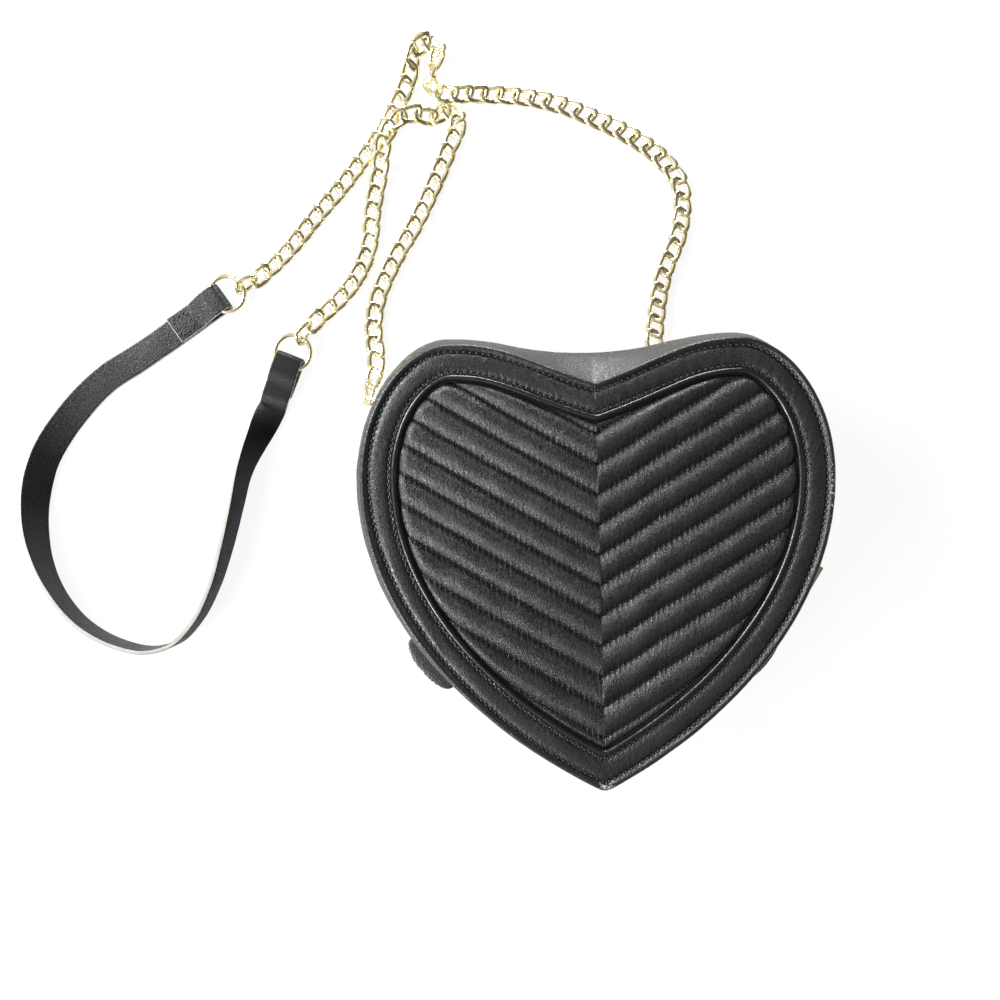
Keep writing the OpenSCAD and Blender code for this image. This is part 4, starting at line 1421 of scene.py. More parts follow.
@dataclass
class Zip:
    """Tapes, coils and the leather tabs over the zip's ends."""

    tape_out: float = -1.4
    tape_t: float = 0.6
    tape_from: float = 0.8
    tape_to: float = 10.0
    pitch: float = 1.5
    wire: float = 0.62
    coil_out: float = 0.5
    coil_h: float = 1.02
    tab_l: float = 28.0
    tab_h: float = 7.0
    tab_t: float = 2.4
    whipping: Stitch = Stitch(1.9, 0.5, 0.62, 0.1)

    def tape(self, half: Half) -> None:
        """A woven tape that runs from beside the zip to behind the gusset's edge."""
        us = WALL.beside_zip(1.6)
        low, high = sorted(ZIP_Z + half.sign * away for away in (self.tape_from, self.tape_to))
        levels = np.linspace(low, high, 8)
        node = f"zip_tape_{half.value}"
        shell = Shell(f"{node}_weave")
        strip(shell, us, levels, 0 * levels + self.tape_out, self.tape_t, np.zeros((8, len(us))))
        shell.build([ZIP_TAPE], half.value, "zip_tape", (node,))

    def coil(self, half: Half) -> None:
        """One row of coil: nylon wire wound round the tape's edge.

        The wire's middle is the coil's line, plus coil_out cos a outwards and coil_h sin a along Z,
        where a turns once every pitch. The two rows are half a turn apart.
        """
        end = WALL.zip_end * 0.985
        fine = WALL.samples(-end, end, 0.5)
        base = WALL.place(fine, ZIP_Z, self.tape_out + 0.9)
        run = run_of(base)
        turns = int(run[-1] / self.pitch)
        at = np.linspace(0, run[-1], turns * 9 + 1)
        place = resample(base, at)
        way = unit(np.gradient(place, axis=0))
        out = np.stack([-way[:, 1], way[:, 0], 0 * at], 1)
        a = at / run[-1] * turns * 2 * math.pi + (math.pi if half is Half.FRONT else 0)
        line = place + out * (self.coil_out * np.cos(a))[:, None]
        line[:, 2] = ZIP_Z + half.sign * 1.2 + self.coil_h * np.sin(a)
        node = f"zip_coil_{half.value}"
        shell = Shell(f"{node}_wire")
        shell.grids(tube(line, self.wire / 2, 5, False, way), closed_v=True)
        shell.build([ZIP_NYLON], half.value, "zip_coil", (node,))

    def tab(self, side: int) -> None:
        """A rounded leather tab over one end of the zip, whipped along its edge with pale thread.

        Its plan reaches 0.2 + tab_h cos(a)^0.7 outwards and tab_l/2 sin a along the zip, filled by
        shares r from 0 to 1; its half thickness is tab_t/2 (1 - r^6)^0.5 cos(a)^0.25.

        Args:
            side: 1 on the right and -1 on the left.
        """
        name = f"zip_tab_{side_name(side)}_leather"
        u = np.array([WALL.zip_end])
        foot = WALL.place(u, ZIP_Z, 0.0)[0]
        out = np.append(ZIP_LINE.at(u)[1][0], 0.0)
        along = np.array([-out[1], out[0], 0.0])
        flip = np.array([side, 1, 1])
        r = np.array([0.0, 0.3, 0.55, 0.75, 0.87, 0.94, 0.98, 1.0])
        r = np.concatenate([r, r[-2::-1]])
        top = np.concatenate([np.ones(7), [0.0], -np.ones(7)])
        a = np.linspace(-math.pi / 2, math.pi / 2, 57)
        cos = np.maximum(np.cos(a), 0)
        half = self.tab_t / 2 * np.sqrt(np.maximum(1 - r**6, 0))[:, None] * cos[None] ** 0.25
        z = ZIP_Z + top[:, None] * half
        reach = -0.3 + (0.5 + self.tab_h * cos[None] ** 0.7) * r[:, None]
        lengthways = self.tab_l / 2 * np.sin(a)[None] * (0.9 + 0.1 * r[:, None])
        z = z + 0.08 * noise(reach / 2, lengthways / 3, 301)
        plan = foot + reach[..., None] * out + lengthways[..., None] * along
        plan[..., 2] = z
        shell = Shell(name)
        wear_and_highlight = np.broadcast_to(0.2 + 0.35 * (r > 0.9)[:, None], reach.shape)
        shell.grids(plan * flip, closed_u=True, wear_and_highlight=wear_and_highlight, flip=side < 0)
        shell.build([BODY_LEATHER], "back", "leather", (f"zip_end_tab_{side_name(side)}",))
        threads = Shell(f"{name}_threads")
        outline, middle = plan[7][4:-4], plan[0][4:-4]
        lean = unit(outline - middle)
        line = outline - lean * 0.25
        self.whipping.sew(threads, line * flip, (lean + 0.6 * UP) * flip)
        threads.build([PALE_THREAD], "back", "leather")

    def build(self) -> None:
        """Builds the zip's own pieces."""
        for half in Half:
            self.tape(half)
        for half in Half:
            self.coil(half)
        for side in (-1, 1):
            self.tab(side)


@dataclass
class Lining:
    """Cloth inside the purse: on both boards and round the walls."""

    out: float = -1.6
    thick: float = 0.5
    from_zip: float = 10.2
    front_levels: tuple[float, float] = (52.1, 52.58)
    back_levels: tuple[float, float] = (2.72, 3.2)

    def panel(self, half: Half, low: float, high: float) -> None:
        """A heart of cloth on a board, with slow waves on the face that shows."""
        sheet = HeartSheet(-2.8, step=2.0, columns=48)
        x, y, _ = sheet.grid()
        calm = falloff(sheet.edge_distance(x, y), 1, 8)
        wave = 0.18 * calm * (noise(x / 16, y / 16, 401) + 0.5 * noise(x / 5, y / 5, 402))
        node = f"lining_{half.value}"
        shell = Shell(f"{node}_cloth")
        under = half is Half.FRONT
        face, back = (low - np.abs(wave), high) if under else (high + np.abs(wave), low)
        sheet.add(shell, np.stack([face, face]), back, under=under)
        shell.build([LINING_CLOTH], half.value, "lining", (node,))

    def wall(self, node: str, body: Optional[str], low: float, high: float, us: Array,
             out: float) -> bpy.types.Object:
        """A strip of cloth inside the wall, with small folds across it."""
        levels = np.linspace(low, high, 12)
        run = run_of(WALL.place(us, ZIP_Z, 0.0))[None, :]
        share = np.sin(np.linspace(0, math.pi, 12))[:, None]
        fold = -0.25 * share * (1 + noise(run / 5, levels[:, None] / 12, 411))
        shell = Shell(f"{node}_cloth")
        strip(shell, us, levels, 0 * levels + out, self.thick, fold)
        return shell.build([LINING_CLOTH], body, "lining", (node,))

    def build(self) -> None:
        """Builds every piece of the lining."""
        self.panel(Half.FRONT, *self.front_levels)
        self.panel(Half.BACK, *self.back_levels)
        us = WALL.beside_zip(2.0)
        self.wall("lining_wall_front", "front", ZIP_Z + self.from_zip, LINING_TOP, us, self.out)
        self.wall("lining_wall_back", "back", LINING_FOOT, ZIP_Z - self.from_zip, us, self.out)
        tip = self.wall("lining_bottom", None, LINING_FOOT, LINING_TOP, WALL.round_tip(2.0),
                        self.out + 0.2)
        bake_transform(tip)


@dataclass
class Hanger:
    """A D-ring in its leather loop on the back gusset, and the link that hooks into it.

    The bar is the middle of the ring's straight side and the way its direction, both on the right.
    """

    side: int
    bar: tuple[float, float, float] = (34.3336, 57.448, 11.2)
    way: tuple[float, float, float] = (0.973198, 0.229969, 0.0)
    radius: float = 7.05
    wire: float = 2.1
    link_wire: float = 1.5
    tab_half_w: float = 4.9
    tab_half_t: float = 0.56
    tab_h: float = 7.0
    loop_r: float = 1.73
    layer_gap: float = 1.2
    seat_x: float = 35.0
    stitch: Stitch = Stitch(2.6, 0.7, 0.5, 0.12)

    @property
    def label(self) -> str:
        """The side in the names of the part's nodes."""
        return side_name(self.side)

    def placed(self, local: Array) -> Array:
        """Local places (X along the wall, Y outwards) put at the bar, and mirrored on the left."""
        axes = np.stack([self.way, np.cross(UP, self.way), UP])
        return (self.bar + local @ axes) * [self.side, 1, 1]

    @property
    def hook(self) -> Array:
        """Place where the chain's first link passes through the end link."""
        along = -1.5 if self.side < 0 else 0.0
        return self.placed(np.array([along, 1.85, -self.radius]))

    def ring(self) -> None:
        """The D-ring: a bar and a half circle, averaged with its neighbours at the two corners."""
        a = np.linspace(0, math.pi, 60)
        arc = np.stack([self.radius * np.cos(a), 0 * a, -self.radius * np.sin(a)], 1)
        x = np.linspace(-self.radius, self.radius, 42)[1:-1]
        line = np.concatenate([arc, np.stack([x, 0 * x, 0 * x], 1)])
        for _ in range(3):
            line = (np.roll(line, 1, 0) + 2 * line + np.roll(line, -1, 0)) / 4
        grid = self.placed(tube(line, self.wire / 2, 14, True, np.array([0.0, 1.0, 0.0])))
        gold_tube(f"d_ring_{self.label}", grid, f"d_ring_{self.label}", self.side < 0)

    def end_link(self) -> None:
        """The plain oval link in the D-ring."""
        a = np.linspace(0, 2 * math.pi, 48, endpoint=False)
        y = 2.55 * np.cos(a) + 0.9 * np.tanh(4 * np.cos(a))
        line = np.stack([0 * a, y, 2.55 * np.sin(a) - self.radius], 1)
        grid = self.placed(tube(line, self.link_wire / 2, 12, True, np.array([1.0, 0.0, 0.0])))
        gold_tube(f"end_link_{self.label}", grid, flip=self.side < 0)

    def tab(self) -> None:
        """The leather loop round the bar: one strip, sewn to the gusset through both layers."""
        u, foot = np.linspace(0, 1, 200), self.bar[2]
        seat = float(np.interp(self.seat_x, WALL.place(u, foot, 0.0)[:, 0], u))
        low, high = (WALL.place(np.array([seat]), z, 0.0)[0] for z in (foot, foot + self.tab_h))
        lean = math.atan2(float(np.linalg.norm((high - low)[:2])), self.tab_h)
        z = np.linspace(self.tab_h, 0.2, 14)
        up = np.stack([0 * z - self.loop_r, z], 1)
        a = np.radians(np.linspace(180, 460, 40))
        loop = self.loop_r * np.stack([np.cos(a), np.sin(a)], 1)
        down = np.stack([0 * z - self.loop_r + self.layer_gap, z], 1)[::-1][3:]
        turn = np.array([[math.cos(lean), -math.sin(lean)], [math.sin(lean), math.cos(lean)]])
        line = np.concatenate([up @ turn, loop, down @ turn])
        for _ in range(2):
            line[1:-1] = (line[:-2] + 2 * line[1:-1] + line[2:]) / 4
        way = unit(np.gradient(line, axis=0))
        thin = np.stack([way[:, 1], -way[:, 0]], 1) * self.tab_half_t
        w = self.tab_half_w
        corners = ((-w, 1), (-w - 0.05, 0), (-w, -1), (w, -1), (w + 0.05, 0), (w, 1))
        section = np.stack([np.concatenate([np.full((len(line), 1), x), line + thin * t], 1)
                            for x, t in corners], 1)
        middle = section.mean(axis=1, keepdims=True)
        ends = middle + 0 * section
        section = np.concatenate([ends[:1], section, ends[-1:]])
        shell = Shell(f"d_ring_tab_{self.label}_leather")
        shell.grids(self.placed(section), closed_v=True, flip=self.side > 0)
        shell.build([BODY_LEATHER], "back", "leather", (f"d_ring_tab_{self.label}",))
        threads = Shell(f"d_ring_tab_{self.label}_threads")
        x = np.linspace(-3.9, 3.9, 30)
        outwards = self.placed(np.array([[0.0, 1.0, 0.0]])) - self.placed(np.zeros((1, 3)))
        for height in (3.4, 6.0):
            out, up = np.array([0.1, height]) @ turn
            line = np.stack([x, 0 * x + out, 0 * x + up], 1)
            self.stitch.sew(threads, self.placed(line), outwards)
        threads.build([BLACK_THREAD], "back", "leather")

    def build(self) -> None:
        """Builds the hanger."""
        self.ring()
        self.end_link()
        self.tab()


@dataclass(frozen=True)
class ORing:
    """A round ring lying flat between a chain and the strap."""

    label: str
    x: float
    y: float
    way: float
    z: float = 3.25
    radius: float = 8.2
    wire: float = 2.1

    @property
    def centre(self) -> Array:
        """Middle of the ring."""
        return np.array([self.x, self.y, self.z])

    def build(self) -> None:
        """The ring, a torus with a fine groove where its wire was joined."""
        a = np.linspace(0, 2 * math.pi, 120, endpoint=False)
        line = self.centre + self.radius * np.stack([np.cos(a), np.sin(a), 0 * a], 1)
        join = bell(a - 1.2, 0.03)
        gold_tube(f"o_ring_{self.label}", tube(line, self.wire / 2 * (1 - 0.1 * join), 18, True, UP))


RING_LEFT = ORing("left", -133.5, 63.0, -113.0)
RING_RIGHT = ORing("right", -163.5, 91.0, -146.0)


def rolled(way: Array, roll: Array) -> tuple[Array, Array]:
    """Directions across a flat cord.

    Args:
        way: Direction along it at each place, shaped (n, 3).
        roll: Roll of its wide side in radians.

    Returns:
        Its wide direction and its thin direction. With side level and to the right of the way, wide is
        side cos r + up sin r and thin is up cos r - side sin r.
    """
    side = unit(np.stack([way[:, 1], -way[:, 0], 0 * roll], 1))
    up = np.cross(side, way)
    cos, sin = np.cos(roll)[:, None], np.sin(roll)[:, None]
    return side * cos + up * sin, up * cos - side * sin


def lifted(route: Sequence[Sequence[float]], wide: float, thick: float) -> Array:
    """Places of a flat cord's middle, where each lies on its lowest edge.

    Args:
        route: x, y, lift and roll in degrees of each place; those left out at its end are 0.
        wide: Width of the cord.
        thick: Its thickness.

    Returns:
        x, y, lift + wide/2 sin roll + thick/2 |cos roll| + 0.1, and roll, shaped (n, 4).
    """
    points = np.array([(*place, 0, 0)[:4] for place in route], float)
    r = np.radians(points[:, 3])
    z = points[:, 2] + wide / 2 * np.sin(r) + thick / 2 * np.abs(np.cos(r)) + 0.1
    return np.stack([points[:, 0], points[:, 1], z, points[:, 3]], 1)


@dataclass
class Chain:
    """A curb chain: twisted links that lie flat, from an end link to an O-ring."""

    label: str
    route: Sequence[Sequence[float]]
    ring: ORing
    hanger: Hanger
    wide: float = 8.6
    thick: float = 3.2
    wire: float = 2.35
    pitch: float = 7.35
    long: float = 9.3
    across: float = 6.5
    twist: float = 0.84
    lean: float = 1.1
    flat: float = 0.72
    pressed_from: float = 1.1
    step: float = 0.5
    floor_gap: float = 0.05
    last_rolls: tuple[float, float] = (70.0, 88.0)

    def link(self) -> Array:
        """One link, as a flattened tube along a leaning, twisted superellipse.

        Its middle is x = A cos^0.78 a + lean sin^0.55 a, y = B sin^0.55 a and z = C sin 2a, where the
        powers keep their signs. Its faces are pressed flat: far from the middle the height grows less.
        """
        a = np.linspace(0, 2 * math.pi, 180, endpoint=False)
        cos, sin = np.cos(a), np.sin(a)
        high = np.sign(sin) * np.abs(sin) ** 0.55
        x = self.long / 2 * np.sign(cos) * np.abs(cos) ** 0.78 + self.lean * high
        line = np.stack([x, self.across / 2 * high, self.twist * np.sin(2 * a)], 1)
        ring = looped(line)
        line = resample(ring, np.linspace(0, run_of(ring)[-1], 44, endpoint=False))
        grid = tube(line, self.wire / 2, 10, True, UP, self.flat)
        z = grid[..., 2]
        over = np.maximum(np.abs(z) - self.pressed_from, 0)
        grid[..., 2] = np.sign(z) * (np.abs(z) - over * 0.6)
        return grid

    def middle_line(self, route: Array) -> Array:
        """The chain's middle from the hook of the end link to the O-ring, on its edge near the ring.

        Args:
            route: Places and rolls of the cord, shaped (n, 4).

        Returns:
            x, y, z and roll at even steps.
        """
        away = unit(route[-1, :3] - self.ring.centre)
        last = self.ring.centre + away * (self.ring.radius - self.ring.wire / 2 - self.wire / 2)
        last[2] = self.wide / 2 + self.floor_gap
        first = np.append(self.hanger.hook, route[0, 3])
        points = np.concatenate([[first], route[1:], [np.append(last, 0.0)]])
        points[-2:, 3] = self.last_rolls
        return spline(points, self.step)

    def links(self, line: Array) -> Array:
        """A link every pitch along the chain's middle, rolled loosely and most of all in the pile.

        Args:
            line: The chain's middle with its roll.

        Returns:
            Grids shaped (links, n, m, 3), none of them below the floor.
        """
        run = run_of(line[:, :3])
        count = int(round((run[-1] - self.long) / self.pitch)) + 1
        at = self.long / 2 + np.arange(count) * (run[-1] - self.long) / (count - 1)
        place = sampled(run, line, at)
        behind, ahead = (sampled(run, line[:, :3], at + s * self.pitch / 2) for s in (-1, 1))
        way = unit(ahead - behind)
        middle = place[:, :3] * 0.5 + (behind + ahead) * 0.25
        pile = falloff(place[:, 1], 180, 186)
        loose = (5 + 38 * pile) * noise(np.arange(count) * 0.9, 0, 501 + len(self.route))
        wide, _ = rolled(way, np.radians(place[:, 3] * (1 - 0.6 * pile) + loose))
        axes = np.stack([way, -wide, np.cross(way, -wide)], 1)
        grid = Shell.copies(self.link(), middle, axes)
        grid[..., 2] += np.maximum(self.floor_gap - grid[..., 2].min(axis=(1, 2)), 0)[:, None, None]
        return grid

    def build(self) -> None:
        """Builds the chain."""
        route = lifted(self.route, self.wide, self.thick)
        line = self.middle_line(route)
        shell = Shell(f"chain_{self.label}_links")
        shell.grids(self.links(line), closed_u=True, closed_v=True)
        piece = shell.build([GOLD], "back", "gold", (f"chain_{self.label}",), crease=60)


@dataclass
class ShoulderStrap:
    """The flat leather strap between the two O-rings, with its folded ends."""

    route: Sequence[Sequence[float]]
    wide: float = 12.6
    thick: float = 2.0
    fold_l: float = 26.0
    flap_l: float = 28.4
    nose: float = 3.25
    nose_r: float = 2.25
    edge_share: float = 0.72
    stitch: Stitch = Stitch(2.5, 0.74, 0.8, 0.1)

    def band(self, shell: Shell, line: Array, wide: Array, thin: Array, wear_and_highlight: float = 0.0) -> None:
        """Adds a strip of leather: its grained face, its other face and its two cut edges.

        The faces are crowned by a tenth of a millimetre, and a groove runs a millimetre inside the
        edges. An open end is closed to its middle line.

        Args:
            shell: Shell that it goes into.
            line: Places of the middle, shaped (n, 3).
            wide: Direction across at each place.
            thin: Direction out of the grained face at each place.
            wear_and_highlight: Share of wear at the edges.
        """
        w, t = self.wide / 2, self.thick / 2
        q = np.array([-1, -0.97, -0.9, -0.82, -0.7, -0.35, 0, 0.35, 0.7, 0.82, 0.9, 0.97, 1])
        half_height = [self.edge_share, 0.9, 0.97, 0.93, 0.98, 1, 1.02]
        height = t * np.array(half_height + half_height[-2::-1])
        run = run_of(line)
        uneven = 1 + 0.012 * noise(run / 7, 0, 601)
        half = (q[None, :] * w * uneven[:, None])[..., None] * wide[:, None]
        for face, slot in ((1, 0), (-1, 1)):
            grid = line[:, None] + half + face * height[None, :, None] * thin[:, None]
            uv = chart(run, q * w)
            level = np.broadcast_to(0.15 + wear_and_highlight * (np.abs(q) > 0.95), grid.shape[:2])
            shell.grids(grid, uv=uv, slot=slot, flip=face < 0, wear_and_highlight=level)
        p = np.array([self.edge_share, 0.4, 0.0, -0.4, -self.edge_share])
        bulge = 1 + 0.012 * (1 - (p / self.edge_share) ** 2)
        for edge in (-1, 1):
            side = (edge * w * uneven[:, None] * bulge[None])[..., None] * wide[:, None]
            grid = line[:, None] + side + (p * t)[None, :, None] * thin[:, None]
            shell.grids(grid, slot=2, flip=edge < 0)
        for end, turned in ((0, True), (-1, False)):
            rim = line[end] + half[end] + height[:, None] * thin[end]
            low = line[end] + half[end] - height[:, None] * thin[end]
            past = unit(line[end] - line[1 if end == 0 else -2]) * 0.55
            shell.grids(np.stack([rim, line[end] + half[end] + past - 0.3 * thin[end], low]), slot=2,
                        flip=turned)

    def main(self) -> None:
        """The long strap from fold to fold."""
        points = lifted(self.route, self.wide, self.thick)
        line = spline(points, 1.2)
        wide, thin = rolled(unit(np.gradient(line[:, :3], axis=0)), np.radians(line[:, 3]))
        shell = Shell("shoulder_strap_leather")
        self.band(shell, line[:, :3], -wide, thin, 0.2)
        piece = shell.build([STRAP_FACE, STRAP_BACK, CUT_EDGE], "back", "strap_leather", ("strap",),
                            crease=40)

    def fold(self, ring: ORing, flap_above: bool) -> None:
        """A strap end folded round its ring and sewn down.

        In local X away from the ring and Z up, the strip lies flat, turns round a nose and comes back
        above; the layer that ends is the flap.

        Args:
            ring: The ring that it holds.
            flap_above: The flap is the upper layer, and else the lower one.
        """
        nose, r = self.nose, self.nose_r
        a = np.radians(np.linspace(270, 90, 22))
        turn = np.stack([nose + r * np.cos(a), nose + r * np.sin(a)], 1)
        reach = self.flap_l if flap_above else self.fold_l
        far = np.linspace(self.fold_l, nose + 0.6, 34)
        low = np.stack([far, 0 * far + 1.0], 1)
        back = np.linspace(nose + 0.6, reach, 36)
        drop = falloff(back, 7.5, 17.5)
        top = np.stack([back, 5.5 * (1 - drop) + 3.02 * drop], 1)
        if not flap_above:
            merge = falloff(back, 19.5, self.fold_l)
            top[:, 1] -= merge * 1.98
            low = low[far < 19.2]
        section = np.concatenate([low, turn, top])
        for _ in range(3):
            section[1:-1] = (section[:-2] + 2 * section[1:-1] + section[2:]) / 4
        start = math.sqrt((ring.radius - ring.wire / 2) ** 2 - self.wide**2 / 4) - 0.2 - self.thick
        w = math.radians(ring.way)
        x = np.array([math.cos(w), math.sin(w), 0.0])
        y = np.cross(UP, x)
        foot = np.array([ring.x, ring.y, 0.0]) + start * x
        line = foot + section[:, :1] * x + section[:, 1:] * UP
        way = unit(np.gradient(line, axis=0))
        wide = np.broadcast_to(y, line.shape)
        thin = np.cross(way, wide)
        shell = Shell(f"strap_fold_{ring.label}_leather")
        self.band(shell, line, wide, thin, 0.3)
        shell.build([STRAP_FACE, STRAP_BACK, CUT_EDGE] if flap_above else
                    [STRAP_BACK, STRAP_FACE, CUT_EDGE], "back", "strap_leather",
                    (f"strap_fold_{ring.label}",), crease=40)
        if flap_above:
            self.box_stitch(foot, x, y)

    def box_stitch(self, foot: Array, x: Array, y: Array) -> None:
        """A square of stitches through both layers of the right fold."""
        threads = Shell("strap_fold_threads")
        near, far, w = 19.3, 27.0, 4.3
        corners = np.array([[near, -w], [near, w], [far, w], [far, -w], [near, -w]])
        for p, q in zip(corners[:-1], corners[1:]):
            flat = p + (q - p) * np.linspace(0, 1, 30)[:, None]
            z = 4.02 + 0.4 * (1 - falloff(flat[:, 0], 15.0, 18.5)) + 0.08
            line = foot + flat[:, :1] * x + flat[:, 1:] * y + z[:, None] * UP
            self.stitch.sew(threads, line, UP)
        threads.build([BLACK_THREAD], "back", "strap_leather")

    def build(self) -> None:
        """Builds the strap and its ends."""
        self.fold(RING_RIGHT, True)
        self.fold(RING_LEFT, False)
        self.main()


# Routes of the three cords, with the places that lifted() reads
CHAIN_LEFT_ROUTE = (
    (-36, 57.6), (-42, 58.6), (-50, 60), (-58, 60.2), (-66, 58.6, 0, 20), (-75, 55, 0, 60),
    (-83, 49, 0, 85), (-89, 42, 0, 90), (-94, 38, 0, 90), (-98, 39, 0, 80), (-98.5, 44, 0, 50),
    (-96, 51, 0, 10), (-95, 60), (-96, 72), (-94, 86), (-86, 104), (-75, 122), (-66, 140), (-58, 158),
    (-54, 169), (-58, 175), (-66, 171), (-74, 172, 2.6, 10), (-81, 169, 5), (-88, 160, 5),
    (-91, 146, 1.4), (-95, 128), (-97, 112), (-103, 98), (-112, 87, 0.2), (-121, 79, 1), (-128, 71.5, 2))
CHAIN_RIGHT_ROUTE = (
    (33.4, 61.8, 2.4), (35.2, 69, 1), (37.4, 84), (41, 98), (47, 112), (49.6, 125), (48.4, 138),
    (40, 149.6), (27, 159.6), (10, 168.6), (-8, 176.2), (-25, 180), (-40, 181, 0.6), (-51, 179.8, 4),
    (-59.5, 179.6, 4.4, 10), (-65.6, 184, 1.2, 40), (-66, 191, 0, 60), (-62.6, 198.5, 0, 75),
    (-65, 205, 0, 90), (-71.5, 203.5, 0, 85), (-74, 196.5, 0, 55), (-77.5, 186, 0, 20), (-84, 174),
    (-91.5, 162), (-101, 150), (-110, 139), (-121, 127), (-133, 113), (-144, 102, 0.5),
    (-154.6, 94.6, 2))
STRAP_ROUTE = (
    (-186.3, 75.6), (-194, 70.4), (-207, 62), (-220, 54, 0, 4), (-237, 37, 0, 12), (-250, 15, 0, 35),
    (-254, -12, 0, 60), (-247, -41, 0, 85), (-233, -60, 0, 90), (-216, -70, 0, 90), (-202, -73, 0, 90),
    (-190, -70, 0, 90), (-180, -60, 0, 90), (-172, -45, 0, 92), (-166, -27, 0, 97), (-161, -8, 0, 101),
    (-157, 8, 0, 108), (-148.5, 27.6, 0, 142), (-144.2, 37.7, 0, 180))


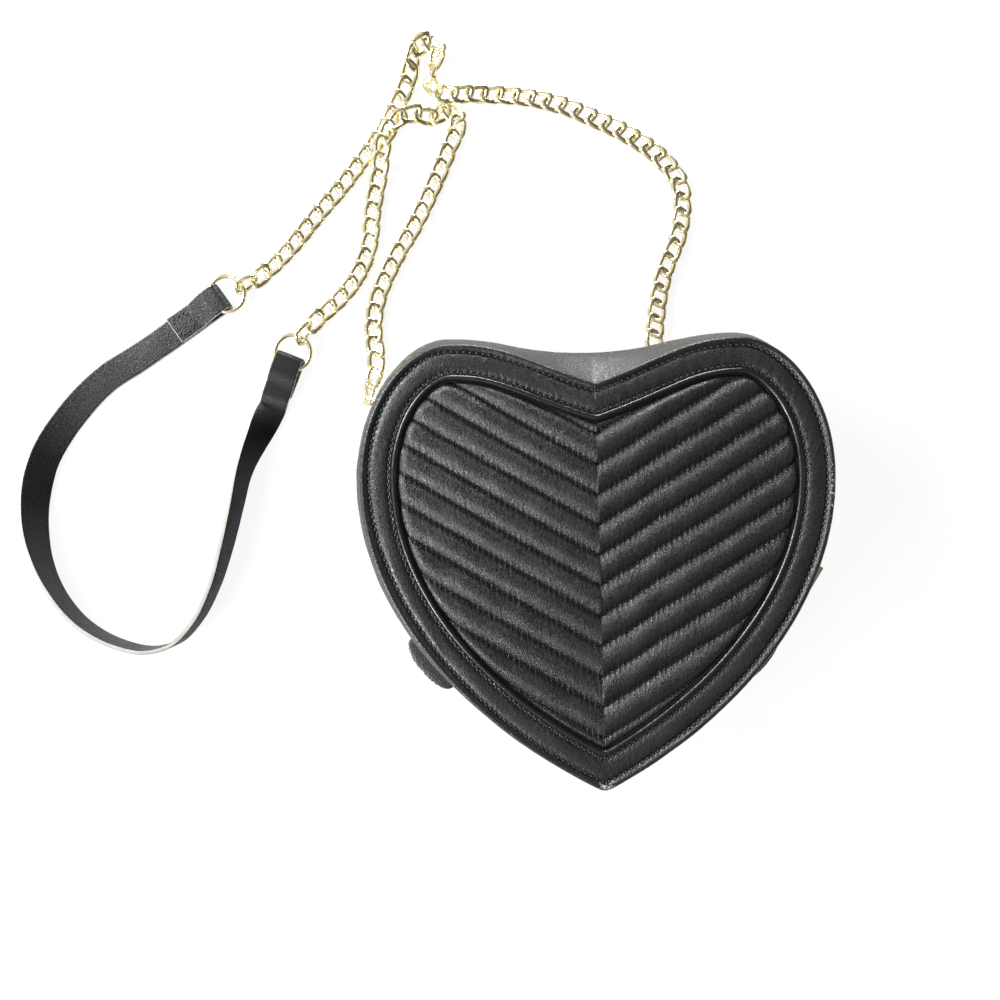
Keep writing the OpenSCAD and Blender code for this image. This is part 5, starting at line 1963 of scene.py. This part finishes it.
@dataclass
class Studio:
    """Floor, world, lamps and the camera."""

    camera_at: tuple[float, float, float] = (-39.12, 26.59, 375.0)
    camera_turn: float = -1.49
    lens: float = 28.8
    ambient: float = 0.4
    sky_span: tuple[float, float] = (-0.35, 0.45)
    sky_levels: tuple[float, float] = (0.78, 0.14)
    horizon: tuple[float, float] = (0.1, 0.3)
    target: tuple[float, float, float] = (0.0, 0.0, 0.03)
    floor_half: float = 3.0

    # Name, place, size and power of each lamp
    LAMPS = (("low_key_lamp", (-0.85, -0.5, 0.55), (0.4, 0.4), 20.0),
             ("high_key_lamp", (-0.85, 0.55, 0.55), (0.4, 0.4), 23.0),
             ("top_lamp", (0.0, 1.15, 0.16), (0.6, 0.25), 20.0),
             ("edge_lamp", (1.15, 0.0, 0.34), (0.12, 0.5), 0.7))

    def camera(self) -> None:
        """A camera that looks straight down."""
        data = bpy.data.cameras.new("camera")
        data.lens = self.lens
        data.sensor_width = 36.0
        data.clip_start = 0.01
        data.clip_end = 30.0
        camera = in_scene("camera", data)
        camera.location = Vector(self.camera_at) * MM
        camera.rotation_euler = (0.0, 0.0, math.radians(self.camera_turn))
        bpy.context.scene.camera = camera

    @staticmethod
    def seen(graph: Graph) -> Socket:
        """1 for camera, glossy and transmission rays, and 0 for the light on the object."""
        ray = graph.node("LightPath").outputs
        direct = graph.math("MAXIMUM", ray["Is Camera Ray"], ray["Is Glossy Ray"])
        return graph.math("MAXIMUM", direct, ray["Is Transmission Ray"])

    def world(self) -> None:
        """White where it is seen, plain soft light on the object, and a shaded sky in reflections.

        Reflections see white round the horizon; above it the sky is bright on the left and dark on the
        right, so that metal and leather get a light and a dark side.
        """
        world = bpy.data.worlds.new("studio_world")
        graph = Graph.of(world)
        way = graph.node("SeparateXYZ", {0: graph.node("TexCoord").outputs["Generated"]})
        sky = graph.ramp(way.outputs[0], *self.sky_span, *self.sky_levels)
        mirrored = graph.ramp(way.outputs[2], *self.horizon, 1.0, 0.0)
        level = graph.math("MAXIMUM", sky, mirrored)
        ray = graph.node("LightPath").outputs
        straight = graph.math("MAXIMUM", ray["Is Camera Ray"], ray["Is Transmission Ray"])
        glossy = graph.math("MULTIPLY", ray["Is Glossy Ray"], level)
        plain = graph.ramp(self.seen(graph), 0.0, 1.0, self.ambient, 0.0)
        strength = graph.math("ADD", graph.math("ADD", straight, glossy), plain)
        light = graph.node("Background", {"Color": (1, 1, 1, 1), "Strength": strength})
        graph.node("OutputWorld", {"Surface": light.outputs[0]})
        bpy.context.scene.world = world

    def floor(self) -> None:
        """A white floor that keeps a faint shadow: part diffuse, part plain white where it is seen."""
        half, z = self.floor_half, -0.05 * MM
        mesh = bpy.data.meshes.new("studio_floor")
        mesh.from_pydata([(-half, -half, z), (half, -half, z), (half, half, z), (-half, half, z)], [],
                         [(0, 1, 2, 3)])
        material = bpy.data.materials.new("studio_floor")
        graph = Graph.of(material)
        matt = graph.node("BsdfDiffuse", {"Color": (0.9, 0.9, 0.9, 1)})
        white = graph.node("Emission", {"Color": (1, 1, 1, 1), "Strength": 1.0})
        away = graph.node("VectorMath", {0: graph.place()}, operation="LENGTH").outputs["Value"]
        share = graph.math("MULTIPLY", self.seen(graph), graph.ramp(away, 0.4, 1.2, 0.9, 1.0))
        mixed = graph.node("MixShader", {0: share, 1: matt.outputs[0], 2: white.outputs[0]})
        graph.node("OutputMaterial", {"Surface": mixed.outputs[0]})
        mesh.materials.append(material)
        in_scene("studio_floor", mesh)

    def lamp(self, name: str, at: tuple[float, float, float], size: tuple[float, float],
             power: float) -> None:
        """A soft rectangular lamp that points at the purse.

        Args:
            name: Name of the lamp.
            at: Place in metres.
            size: Width and height in metres.
            power: Watts.
        """
        data = bpy.data.lights.new(name, "AREA")
        data.shape = "RECTANGLE"
        data.size, data.size_y = size
        data.energy = power
        lamp = in_scene(name, data)
        lamp.location = at
        away = Vector(at) - Vector(self.target)
        lamp.rotation_euler = away.to_track_quat("Z", "Y").to_euler()

    def build(self) -> None:
        """Builds the studio."""
        self.camera()
        self.world()
        self.floor()
        for lamp in self.LAMPS:
            self.lamp(*lamp)
        bpy.context.scene.view_settings.view_transform = "Standard"


def dress_kept_nodes() -> None:
    """Gives the part's own nodes that stay in view their finishes."""
    kept = {"front_board": CARD_BOARD, "back_board": CARD_BOARD, "zip_slider": GOLD, "zip_pull": GOLD}
    for name, finish in kept.items():
        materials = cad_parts[name].data.materials
        for index in range(len(materials)):
            materials[index] = finish.material()


def main() -> None:
    """Builds the purse from the cords inwards."""
    logging.basicConfig(level=logging.INFO, format="%(message)s")
    Studio().build()
    left, right = Hanger(-1), Hanger(1)
    for piece in (RING_LEFT, RING_RIGHT, left, right):
        piece.build()
    Chain("left", CHAIN_LEFT_ROUTE, RING_LEFT, left).build()
    Chain("right", CHAIN_RIGHT_ROUTE, RING_RIGHT, right).build()
    ShoulderStrap(STRAP_ROUTE).build()
    front = FrontPanel()
    front.build()
    SideWalls().build()
    BackPanel().build(front)
    Zip().build()
    Lining().build()
    dress_kept_nodes()


if __name__ == "__main__":
    main()
